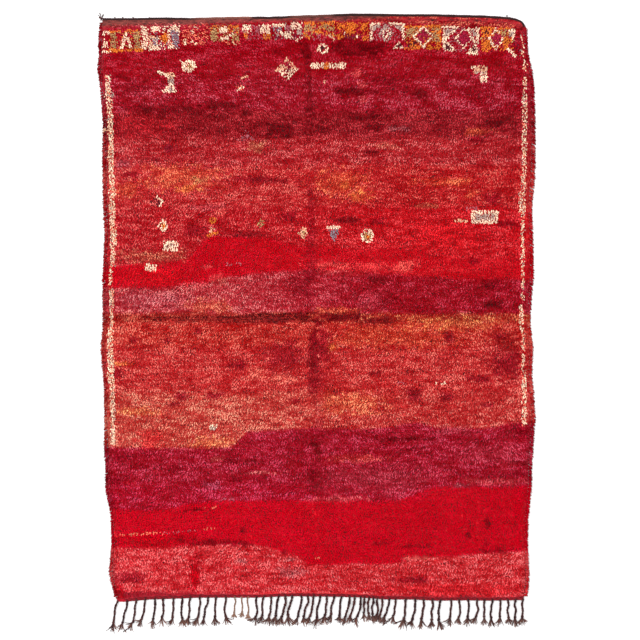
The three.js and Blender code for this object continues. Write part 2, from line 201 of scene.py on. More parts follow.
@dataclass
class BuiltNode:
    """A node just added, with short ways to its outputs."""

    tree: "NodeTree"
    node: bpy.types.Node

    def out(self, name: str | int = 0) -> Socket:
        """The output with this name or place."""
        return self.node.outputs[name]

    def value(self, name: str | int = 0) -> NodeValue:
        """The output with this name or place, as a number to reckon with."""
        return NodeValue(self.tree, self.node.outputs[name])


@dataclass
class NodeTree:
    """One way of adding nodes to a tree of Blender's, for shaders and Geometry Nodes alike."""

    tree: bpy.types.NodeTree

    def node(self, kind: str, settings: dict | None = None, inputs: dict | None = None) -> BuiltNode:
        """Adds a node.

        Args:
            kind: the node's type.
            settings: its properties, which are set first.
            inputs: values or links for its sockets, by name or place.

        Returns:
            The node.
        """
        node = self.tree.nodes.new(kind)
        for name, value in (settings or {}).items():
            setattr(node, name, value)
        for name, value in (inputs or {}).items():
            socket = node.inputs[name]
            value = value.socket if isinstance(value, NodeValue) else value
            if isinstance(value, Socket):
                self.tree.links.new(value, socket)
            else:
                socket.default_value = value
        return BuiltNode(self, node)


# A finish's colour, its roughness, the height of its grain from 0 to 1, and the grain's depth in metres.
Surface = tuple[Socket, NodeValue, NodeValue, float]


@dataclass(frozen=True)
class Finish:
    """What every finish of the rug shares: a rough fibre with a soft sheen and its own grain."""

    name: str
    roughness: float = 0.9
    sheen: float = 0.25
    sheen_roughness: float = 0.45
    sheen_tint: tuple[float, float, float, float] = (1.0, 0.04, 0.08, 1.0)
    specular: float = 0.18
    fibre: float = 0.4
    stretch: RGB = EVEN
    depth: float = 0.0001

    def material(self) -> Material:
        """Builds the material.

        Returns:
            Blender's material, with the finish's own colour, roughness and bump.
        """
        made = bpy.data.materials.new(self.name)
        made.use_nodes = True
        made.node_tree.nodes.clear()
        tree = NodeTree(made.node_tree)
        place = tree.node("ShaderNodeTexCoord").out("Object")
        colour, roughness, height, depth = self.surface(tree, place)
        bump = tree.node("ShaderNodeBump", {}, {"Strength": 1.0, "Distance": depth, "Height": height})
        shader = tree.node(
            "ShaderNodeBsdfPrincipled",
            {},
            {
                "Base Color": colour,
                "Roughness": roughness,
                "Normal": bump.out(),
                "Specular IOR Level": self.specular,
                "Sheen Weight": self.sheen,
                "Sheen Roughness": self.sheen_roughness,
                "Sheen Tint": self.sheen_tint,
            },
        )
        tree.node("ShaderNodeOutputMaterial", {}, {"Surface": shader.out()})
        return made

    def surface(self, tree: NodeTree, place: Socket) -> Surface:
        """Lays a grain of fibres over the dye that the piece's points carry.

        Args:
            tree: the material's tree.
            place: the point on the piece.

        Returns:
            The finish's surface.
        """
        dye = tree.node("ShaderNodeAttribute", {"attribute_name": YARN}).out("Color")
        fibres = self.grain(tree, place, self.fibre, self.stretch)
        light = self.light(tree, place, fibres)
        return self.shaded(tree, dye, light), self.roughness - 0.1 * fibres, fibres, self.depth

    def light(self, tree: NodeTree, place: Socket, fibres: NodeValue) -> NodeValue:
        """What the dye is multiplied by, from the point on the piece and its grain."""
        raise NotImplementedError

    def grain(self, tree: NodeTree, place: Socket, size: float, stretch: RGB) -> NodeValue:
        """A fibrous noise.

        Args:
            tree: the material's tree.
            place: the point on the piece.
            size: the length of a fleck of grain, in metres.
            stretch: how many times finer it is along each axis.

        Returns:
            Numbers around 0.5.
        """
        spread = tree.node("ShaderNodeMapping", {"vector_type": "TEXTURE"}, {
            "Vector": place,
            "Scale": tuple(1.0 / one for one in stretch),
        })
        return tree.node("ShaderNodeTexNoise", {}, {
            "Vector": spread.out(),
            "Scale": 1.0 / size,
            "Detail": 2.0,
            "Roughness": 0.6,
        }).value("Fac")

    def shaded(self, tree: NodeTree, colour: Socket, light: NodeValue) -> Socket:
        """The colour with each channel multiplied by a light."""
        scaled = {"Vector": colour, "Scale": light}
        return tree.node("ShaderNodeVectorMath", {"operation": "SCALE"}, scaled).out("Vector")


@dataclass(frozen=True)
class PileWool(Finish):
    """Long soft wool locks: darker at the root, partly painted shade and partly deeper dye, and paler at the
    tip, partly sun-faded wool and partly painted sheen.
    """

    sheen: float = 0.04
    specular: float = 0.01
    fibre: float = 0.0022
    stretch: RGB = (1.0, 1.0, 0.5)
    depth: float = 0.0004
    root_shade_and_dye: float = 0.68
    tip_fade_and_sheen: float = 1.04
    fleck: float = 0.24

    def light(self, tree: NodeTree, place: Socket, fibres: NodeValue) -> NodeValue:
        """What the dye is multiplied by: painted shade towards the root and painted sheen at the tip, and
        the grain.
        """
        along = tree.node("ShaderNodeAttribute", {"attribute_name": ALONG}).value("Fac")
        # Painted shade towards the root and painted sheen towards the tip, over the dye.
        light = self.root_shade_and_dye + (self.tip_fade_and_sheen - self.root_shade_and_dye) * along ** 0.75
        return light * (1.0 - 0.5 * self.fleck + self.fleck * fibres)


@dataclass(frozen=True)
class WovenGround(Finish):
    """The flat weave that carries the knots: weft ribs crossed by warp ends."""

    fibre: float = 0.0085
    stretch: RGB = (0.6, 1.6, 1.0)
    depth: float = 0.0011
    rib: float = 0.0042
    end: float = 0.0056
    fleck: float = 3.2

    def surface(self, tree: NodeTree, place: Socket) -> Surface:
        """Crosses two waves for the weave, over the ground's own dye, and paints shade into the weave's
        grooves.

        Args:
            tree: the material's tree.
            place: the point on the cloth.

        Returns:
            The finish's surface.
        """
        dye = tree.node("ShaderNodeAttribute", {"attribute_name": YARN}).out("Color")
        axes = tree.node("ShaderNodeSeparateXYZ", {}, {"Vector": place})
        drift = self.grain(tree, place, 0.030, EVEN)
        turn = 2.0 * math.pi
        ribs = (axes.value("Y") * (turn / self.rib) + drift * 5.0).sine() * 0.5 + 0.5
        ends = (axes.value("X") * (turn / self.end) + drift * 4.0).sine() * 0.5 + 0.5
        fibres = self.grain(tree, place, self.fibre, self.stretch)
        clouds = self.grain(tree, place, 0.022, (0.5, 1.4, 1.0))
        weave = ribs * 0.65 + ribs * ends * 0.35
        # Painted shade: the dye is darker where the weave lies low, between the ribs.
        light = 0.74 + 0.34 * weave + self.fleck * (fibres - 0.5) + 0.6 * self.fleck * (clouds - 0.5)
        return self.shaded(tree, dye, light), self.roughness - 0.08 * weave, weave, self.depth


@dataclass(frozen=True)
class SpunWool(Finish):
    """Hand-spun wool in plied cords, for the plait, the tassel and the fringe."""

    fibre: float = 0.0016
    stretch: RGB = (1.0, 0.6, 1.0)
    depth: float = 0.0007
    cloud: float = 0.018
    fleck: float = 0.55

    def light(self, tree: NodeTree, place: Socket, fibres: NodeValue) -> NodeValue:
        """What the dye is multiplied by, from its clouds and its grain."""
        clouds = self.grain(tree, place, self.cloud, EVEN)
        return 1.0 + self.fleck * (fibres - 0.5) + 0.5 * (clouds - 0.5)


@dataclass(frozen=True)
class FloorPaint(Finish):
    """A plain pale floor with a faint mottle."""

    tone: float = 0.5

    def surface(self, tree: NodeTree, place: Socket) -> Surface:
        """Adds a mottle that is hardly seen.

        Args:
            tree: the material's tree.
            place: the point on the floor.

        Returns:
            The finish's surface.
        """
        mottle = self.grain(tree, place, self.fibre, EVEN)
        plain = tree.node("ShaderNodeCombineXYZ", {}, {"X": 1.0, "Y": 1.0, "Z": 1.0}).out()
        return self.shaded(tree, plain, self.tone + 0.01 * mottle), 0.7 + 0.05 * mottle, mottle, self.depth


class GeometryTree(NodeTree):
    """A Geometry Nodes tree with named inputs, used as a modifier and then turned into a plain mesh."""

    def __init__(self, name: str) -> None:
        """Starts the tree with its geometry going in and out.

        Args:
            name: the tree's name.
        """
        super().__init__(bpy.data.node_groups.new(name, "GeometryNodeTree"))
        self.identifiers: dict[str, str] = {}
        face = self.tree.interface
        face.new_socket("Geometry", in_out="INPUT", socket_type="NodeSocketGeometry")
        face.new_socket("Geometry", in_out="OUTPUT", socket_type="NodeSocketGeometry")

    def take(self, name: str, kind: str) -> None:
        """Adds an input of this name and this type of socket."""
        socket = self.tree.interface.new_socket(name, in_out="INPUT", socket_type=kind)
        self.identifiers[name] = socket.identifier

    def attribute(self, name: str, kind: str) -> Socket:
        """The named attribute of the geometry, of this data type."""
        return self.node("GeometryNodeInputNamedAttribute", {"data_type": kind}, {"Name": name}).out()

    def close(self, geometry: Socket, material: Socket) -> None:
        """Realizes the instances, shades them smooth, gives them their material and ends the tree.

        Args:
            geometry: what has been made.
            material: the material input.
        """
        real = self.node("GeometryNodeRealizeInstances", {}, {"Geometry": geometry})
        soft = self.node("GeometryNodeSetShadeSmooth", {}, {"Geometry": real.out()})
        dressed = self.node("GeometryNodeSetMaterial", {}, {"Geometry": soft.out(), "Material": material})
        self.node("NodeGroupOutput", {}, {0: dressed.out()})

    def grow(self, piece: Piece, values: dict[str, Any]) -> Piece:
        """Runs the tree on a piece and keeps the result as the piece's plain mesh.

        Args:
            piece: the object whose mesh goes in.
            values: the named inputs.

        Returns:
            The same object, with its new mesh and no modifier.
        """
        modifier = piece.modifiers.new(self.tree.name, "NODES")
        modifier.node_group = self.tree
        for name, value in values.items():
            modifier[self.identifiers[name]] = value
        graph = bpy.context.evaluated_depsgraph_get()
        made = bpy.data.meshes.new_from_object(
            piece.evaluated_get(graph), preserve_all_data_layers=True, depsgraph=graph
        )
        piece.modifiers.clear()
        seed_mesh = piece.data
        piece.data = made
        made.name = piece.name
        bpy.data.meshes.remove(seed_mesh)
        for name in SCAFFOLD:
            if name in made.attributes:
                made.attributes.remove(made.attributes[name])
        return piece


# The shape of one lock, for a length, width and height of 1.
LOCK_SIDES = 3
LOCK_RINGS = 2
LOCK_BOW = 0.24
LOCK_RING = (0.08, 0.58, 0.13)


def lock_tree() -> GeometryTree:
    """Builds the tree that sets a bent, pointed lock of wool on each point.

    Returns:
        The tree. Points carry a heading, a measure, a variant and a yarn.
    """
    tree = GeometryTree("lock_field")
    for name in ("Arch", "Tip height", "Sweep"):
        tree.take(name, "NodeSocketFloat")
    tree.take("Wool", "NodeSocketMaterial")
    given = tree.node("NodeGroupInput")
    size = {"Segments": LOCK_SIDES, "Rings": LOCK_RINGS, "Radius": 1.0}
    spindle = tree.node("GeometryNodeMeshUVSphere", {}, size)
    axes = tree.node("ShaderNodeSeparateXYZ", {}, {"Vector": tree.node("GeometryNodeInputPosition").out()})
    ring_along, ring_across = axes.value("X"), axes.value("Y")
    along = 0.5 + 0.5 * axes.value("Z")
    stored = tree.node(
        "GeometryNodeStoreNamedAttribute",
        {"data_type": "FLOAT", "domain": "POINT"},
        {"Geometry": spindle.out("Mesh"), "Name": ALONG, "Value": along},
    )
    belly = along * (1.0 - along)
    joined = tree.node("GeometryNodeJoinGeometry")
    for sweep in (0.0, 1.0, -1.0):
        place = tree.node("ShaderNodeCombineXYZ", {}, {
            "X": along + LOCK_BOW * belly - ring_along * LOCK_RING[0],
            "Y": ring_across * LOCK_RING[1] + along * along * given.value("Sweep") * sweep,
            "Z": along * given.value("Tip height") + belly * given.value("Arch") + ring_along * LOCK_RING[2],
        })
        bent = tree.node("GeometryNodeSetPosition", {}, {"Geometry": stored.out(), "Position": place.out()})
        single = tree.node("GeometryNodeGeometryToInstance", {}, {"Geometry": bent.out()})
        tree.tree.links.new(single.out(), joined.node.inputs[0])
    turn = tree.node("FunctionNodeEulerToRotation", {}, {"Euler": tree.attribute(HEADING, "FLOAT_VECTOR")})
    field_of_locks = tree.node("GeometryNodeInstanceOnPoints", {}, {
        "Points": given.out("Geometry"),
        "Instance": joined.out(),
        "Pick Instance": True,
        "Instance Index": tree.attribute(VARIANT, "INT"),
        "Rotation": turn.out(),
        "Scale": tree.attribute(MEASURE, "FLOAT_VECTOR"),
    })
    tree.close(field_of_locks.out(), given.out("Wool"))
    return tree


def spun_tree() -> GeometryTree:
    """Builds the tree that turns lines of points into round yarn.

    Returns:
        The tree. The points carry their stoutness and a yarn.
    """
    tree = GeometryTree("spun_yarn")
    tree.take("Sides", "NodeSocketInt")
    tree.take("Wool", "NodeSocketMaterial")
    given = tree.node("NodeGroupInput")
    line = tree.node("GeometryNodeMeshToCurve", {}, {"Mesh": given.out("Geometry")})
    round_it = {"Resolution": given.out("Sides"), "Radius": 1.0}
    ring = tree.node("GeometryNodeCurvePrimitiveCircle", {}, round_it)
    yarn = tree.node("GeometryNodeCurveToMesh", {}, {
        "Curve": line.out(),
        "Profile Curve": ring.out(),
        "Scale": tree.attribute(STOUTNESS, "FLOAT"),
        "Fill Caps": True,
    })
    tree.close(yarn.out(), given.out("Wool"))
    return tree


def add_piece(name: str, data: bpy.types.ID) -> Piece:
    """Links a new object into the scene.

    Args:
        name: the object's name.
        data: its mesh in metres, its light or its camera.

    Returns:
        The object, at the origin.
    """
    piece = bpy.data.objects.new(name, data)
    bpy.context.scene.collection.objects.link(piece)
    return piece


def write_attribute(mesh: bpy.types.Mesh, name: str, kind: str, values: Array) -> None:
    """Stores one value for each point of a mesh.

    Args:
        mesh: the mesh.
        name: the attribute's name.
        kind: Blender's data type.
        values: one row for each point; a colour has three channels.
    """
    layer = mesh.attributes.new(name, kind, "POINT")
    if kind == "FLOAT_COLOR":
        values = np.hstack([values, np.ones((len(values), 1))])
    field = {"FLOAT_COLOR": "color", "FLOAT_VECTOR": "vector"}.get(kind, "value")
    layer.data.foreach_set(field, np.asarray(values).ravel())


class RugOutline:
    """The rug's rims and height, read from the solid cloth that the looks are laid over."""

    # The underside's points lie below FLOOR, and those of its ring farther than INNER from the middle.
    STEP = 0.008
    RIM_SPAN = 0.045
    SHEET = 0.0046
    BED_SHARE = 0.62
    FLOOR = 1e-5
    INNER = 0.3
    RIM_READINGS = 13
    HALF_WIDTH = 0.9
    PASSES = 4

    def __init__(self, cloth: Piece) -> None:
        """Reads the ring of the underside and samples the height of the top.

        Args:
            cloth: the CAD node of the cloth.
        """
        mesh = cloth.data
        corners = np.empty(3 * len(mesh.vertices))
        mesh.vertices.foreach_get("co", corners)
        corners = corners.reshape(-1, 3)
        flat = np.unique(np.round(corners[corners[:, 2] < self.FLOOR, :2], 6), axis=0)
        ring = flat[np.hypot(flat[:, 0], flat[:, 1]) > self.INNER]
        ring = ring[np.argsort(np.arctan2(ring[:, 1], ring[:, 0]))]
        half = np.abs(ring).max(axis=0)
        turns = {
            (side, end): int(np.argmax(ring[:, 0] * side / half[0] + ring[:, 1] * end / half[1]))
            for side in (-1, 1)
            for end in (-1, 1)
        }
        self.right_rim = self.chain(ring, turns[1, -1], turns[1, 1], 1)
        self.upper_rim = self.chain(ring, turns[1, 1], turns[-1, 1], 0)
        self.left_rim = self.chain(ring, turns[-1, 1], turns[-1, -1], 1)
        self.lower_rim = self.chain(ring, turns[-1, -1], turns[1, -1], 0)
        self.low = ring.min(axis=0) - self.STEP
        self.heights = self.sample(mesh, ring.max(axis=0) + self.STEP)

    @staticmethod
    def chain(ring: Array, start: int, end: int, axis: int) -> Array:
        """The part of the ring between two corners, in rising order.

        Args:
            ring: the whole ring, counter-clockwise.
            start: the first corner.
            end: the last corner.
            axis: 0 to sort across, 1 to sort along.

        Returns:
            The points.
        """
        count = (end - start) % len(ring) + 1
        part = ring[(start + np.arange(count)) % len(ring)]
        return part[np.argsort(part[:, axis])]

    def sample(self, mesh: bpy.types.Mesh, high: Array) -> Array:
        """Drops a ray on each point of a lattice.

        Args:
            mesh: the cloth's mesh.
            high: the lattice's far corner.

        Returns:
            The heights, by row and column.
        """
        tree = BVHTree.FromPolygons(
            [tuple(one.co) for one in mesh.vertices], [tuple(face.vertices) for face in mesh.polygons]
        )
        columns, rows = np.ceil((high - self.low) / self.STEP).astype(int) + 1
        down = Vector((0.0, 0.0, -1.0))
        heights = np.zeros((rows, columns))
        for row in range(rows):
            for column in range(columns):
                start = self.low + self.STEP * np.array((column, row))
                hit = tree.ray_cast(Vector((start[0], start[1], 1.0)), down)[0]
                heights[row, column] = hit.z if hit else 0.0
        return heights

    def height(self, x: Array, y: Array) -> Array:
        """Reads how high the solid cloth is.

        Args:
            x: places across, in metres.
            y: places along.

        Returns:
            The height at each, in metres.
        """
        column = np.clip((x - self.low[0]) / self.STEP, 0, self.heights.shape[1] - 1.001)
        row = np.clip((y - self.low[1]) / self.STEP, 0, self.heights.shape[0] - 1.001)
        left, low = column.astype(int), row.astype(int)
        across, up = column - left, row - low
        lower = mix(self.heights[low, left], self.heights[low, left + 1], across)
        upper = mix(self.heights[low + 1, left], self.heights[low + 1, left + 1], across)
        return mix(lower, upper, up)

    def bed(self, x: Array, y: Array) -> Array:
        """How high the locks are packed too close to be told apart, in metres."""
        return np.maximum(self.SHEET, self.BED_SHARE * self.height(x, y))

    def left(self, y: Array) -> Array:
        """The left rim at each place along the rug."""
        return np.interp(y, self.left_rim[:, 1], self.left_rim[:, 0])

    def right(self, y: Array) -> Array:
        """The right rim at each place along the rug."""
        return np.interp(y, self.right_rim[:, 1], self.right_rim[:, 0])

    def upper(self, x: Array) -> Array:
        """The upper rim at each place across the rug."""
        return np.interp(x, self.upper_rim[:, 0], self.upper_rim[:, 1])

    def lower(self, x: Array) -> Array:
        """The lower rim at each place across the rug."""
        return np.interp(x, self.lower_rim[:, 0], self.lower_rim[:, 1])

    def calm(self, side: int, y: Array) -> Array:
        """A side's rim without the locks that stand out from it.

        Args:
            side: -1 for the left and 1 for the right.
            y: places along the rug.

        Returns:
            The rim's place across at each.
        """
        reader = self.left if side < 0 else self.right
        shifts = np.linspace(-self.RIM_SPAN, self.RIM_SPAN, self.RIM_READINGS)
        return sum(reader(y + shift) for shift in shifts) / len(shifts)

    def place(self, u: Array, v: Array) -> tuple[Array, Array]:
        """Finds the point at a share of the rug's width and length.

        Args:
            u: the share across, from 0 at the left rim to 1 at the right.
            v: the share along, from 0 at the lower end to 1 at the upper.

        Returns:
            The places across and along.
        """
        x = mix(-self.HALF_WIDTH, self.HALF_WIDTH, u)
        for _ in range(self.PASSES):
            y = mix(self.lower(x), self.upper(x), v)
            x = mix(self.calm(-1, y), self.calm(1, y), u)
        return x, mix(self.lower(x), self.upper(x), v)


def charted(x: Array, y: Array) -> tuple[Array, Array]:
    """The columns and rows of the chart at places across and along the rug, in metres."""
    return x / CHART_SQUARE + CHART_MIDDLE[0], CHART_MIDDLE[1] - y / CHART_SQUARE


def from_chart(column: Any, row: Any) -> tuple[Any, Any]:
    """The places across and along the rug, in metres, at columns and rows of the chart."""
    return (column - CHART_MIDDLE[0]) * CHART_SQUARE, (CHART_MIDDLE[1] - row) * CHART_SQUARE


class Strands:
    """Lines of points that the spun yarn tree turns into yarn of one piece."""

    def __init__(self) -> None:
        """Starts with no line."""
        self.points: list[Array] = []
        self.stoutness: list[Array] = []
        self.dyes: list[Array] = []
        self.edges: list[Array] = []
        self.count = 0

    def add(self, points: Array, stoutness: Array | float, dye: Array) -> None:
        """Adds one line.

        Args:
            points: its points, in metres.
            stoutness: the yarn's radius, for the line or at each point.
            dye: its linear colour, for the line or at each point.
        """
        size = len(points)
        self.points.append(points)
        self.stoutness.append(np.broadcast_to(stoutness, size))
        self.dyes.append(np.broadcast_to(dye, (size, 3)))
        numbers = np.arange(self.count, self.count + size)
        self.edges.append(np.stack([numbers[:-1], numbers[1:]], axis=1))
        self.count += size

    def piece(self, name: str, sides: int, tree: GeometryTree, wool: Material) -> Piece:
        """Makes the yarn.

        Args:
            name: the piece's name.
            sides: how many sides the yarn has round it.
            tree: the spun yarn tree.
            wool: its material.

        Returns:
            The piece, as a plain mesh.
        """
        mesh = bpy.data.meshes.new(name)
        mesh.from_pydata(np.vstack(self.points).tolist(), np.vstack(self.edges).tolist(), [])
        write_attribute(mesh, STOUTNESS, "FLOAT", np.concatenate(self.stoutness))
        write_attribute(mesh, YARN, "FLOAT_COLOR", np.vstack(self.dyes))
        return tree.grow(add_piece(name, mesh), {"Sides": sides, "Wool": wool})


def resampled(points: Array, step: float) -> Array:
    """Walks along a line in even steps.

    Args:
        points: the line's points.
        step: the length of a step, in metres.

    Returns:
        The new points, with both ends kept.
    """
    lengths = np.hypot(*np.diff(points[:, :2], axis=0).T)
    walked = np.concatenate([[0.0], np.cumsum(lengths)])
    stops = np.linspace(0.0, walked[-1], max(2, round(walked[-1] / step) + 1))
    return np.stack([np.interp(stops, walked, points[:, axis]) for axis in range(points.shape[1])], axis=1)


def sideways(points: Array) -> Array:
    """The level direction to the left of a line at each of its points, of length 1."""
    ahead = np.gradient(points[:, :2], axis=0)
    ahead /= np.maximum(np.hypot(ahead[:, 0], ahead[:, 1]), 1e-9)[:, None]
    return np.stack([-ahead[:, 1], ahead[:, 0], np.zeros(len(points))], axis=1)


class Yarn(Enum):
    """The yarns of the border and of the small figures, as display colours."""

    CREAM = (250, 220, 188)
    SAND = (228, 178, 142)
    GREY = (176, 152, 140)
    BLUE_GREY = (142, 132, 140)
    OLIVE = (178, 142, 94)
    ORANGE = (220, 120, 44)
    PURPLE = (118, 30, 50)
    MAGENTA = (160, 34, 62)
    MAUVE = (170, 92, 100)
    DARK = (78, 34, 38)
    # Painted shade: a near-black dye for the crease across the middle, where the pile lies open.
    PAINTED_CREASE_SHADE = (66, 12, 12)
    SALMON = (232, 118, 92)
    RED = (176, 22, 34)


@dataclass(frozen=True)
class Block:
    """A filled rectangle, given by its left, right, upper and lower edge on the chart."""

    left: float
    right: float
    upper: float
    lower: float
    yarn: Yarn
    fill: float = 0.8

    def covers(self, column: Array, row: Array) -> Array:
        """Which of these places lie on the figure."""
        return (column > self.left) & (column < self.right) & (row > self.upper) & (row < self.lower)


@dataclass(frozen=True)
class Diamond:
    """A diamond, filled or as an outline of some thickness."""

    column: float
    row: float
    wide: float
    high: float
    yarn: Yarn
    rim: float = 0.0
    fill: float = 0.92
    SLANT = 1.3

    def covers(self, column: Array, row: Array) -> Array:
        """Which of these places lie on the figure."""
        far = np.abs(column - self.column) / self.wide + np.abs(row - self.row) / self.high
        hollow = 1.0 - self.rim / min(self.wide, self.high) * self.SLANT if self.rim else -1.0
        return (far < 1.0) & (far > hollow)


@dataclass(frozen=True)
class Disc:
    """A round or oval spot."""

    column: float
    row: float
    wide: float
    high: float
    yarn: Yarn
    fill: float = 0.92

    def covers(self, column: Array, row: Array) -> Array:
        """Which of these places lie on the figure."""
        return np.hypot((column - self.column) / self.wide, (row - self.row) / self.high) < 1.0


@dataclass(frozen=True)
class Stroke:
    """A straight stroke from one column and row of the chart to another."""

    column: float
    row: float
    end_column: float
    end_row: float
    wide: float
    yarn: Yarn
    fill: float = 0.92

    def covers(self, column: Array, row: Array) -> Array:
        """Which of these places lie on the figure."""
        across, down = self.end_column - self.column, self.end_row - self.row
        length = across * across + down * down
        share = ((column - self.column) * across + (row - self.row) * down) / length
        share = np.clip(share, 0.0, 1.0)
        gap = np.hypot(column - self.column - share * across, row - self.row - share * down)
        return gap < 0.5 * self.wide


@dataclass(frozen=True)
class Triangle:
    """A filled triangle between three points of the chart."""

    first: Pair
    second: Pair
    third: Pair
    yarn: Yarn
    fill: float = 0.92

    def covers(self, column: Array, row: Array) -> Array:
        """Which of these places lie on the figure."""
        corners = (self.first, self.second, self.third)
        sides = [
            np.sign((end[0] - start[0]) * (row - start[1]) - (end[1] - start[1]) * (column - start[0]))
            for start, end in zip(corners, corners[1:] + corners[:1])
        ]
        return (sides[1] == sides[0]) & (sides[2] == sides[0])


class Tint(Enum):
    """The casts that worn, faded and darker places of the ground take on; DARK and WINE also paint shade
    into the creases of the pile.
    """

    DARK = (98, 6, 16)
    WINE = (122, 8, 24)
    PURPLE = (112, 16, 44)
    MAUVE = (172, 66, 68)
    GREY_MAUVE = (152, 76, 82)
    OLIVE = (168, 112, 74)
    SALMON = (232, 108, 88)
    ORANGE = (238, 118, 62)
    PALE = (222, 128, 98)
    CRIMSON = (172, 6, 22)
    RED = (204, 24, 30)
    GREY = (142, 80, 78)


@dataclass(frozen=True)
class Patch:
    """A soft-edged place where the ground takes a cast, given by its four edges on the chart."""

    left: float
    right: float
    upper: float
    lower: float
    strength: float = 0.6
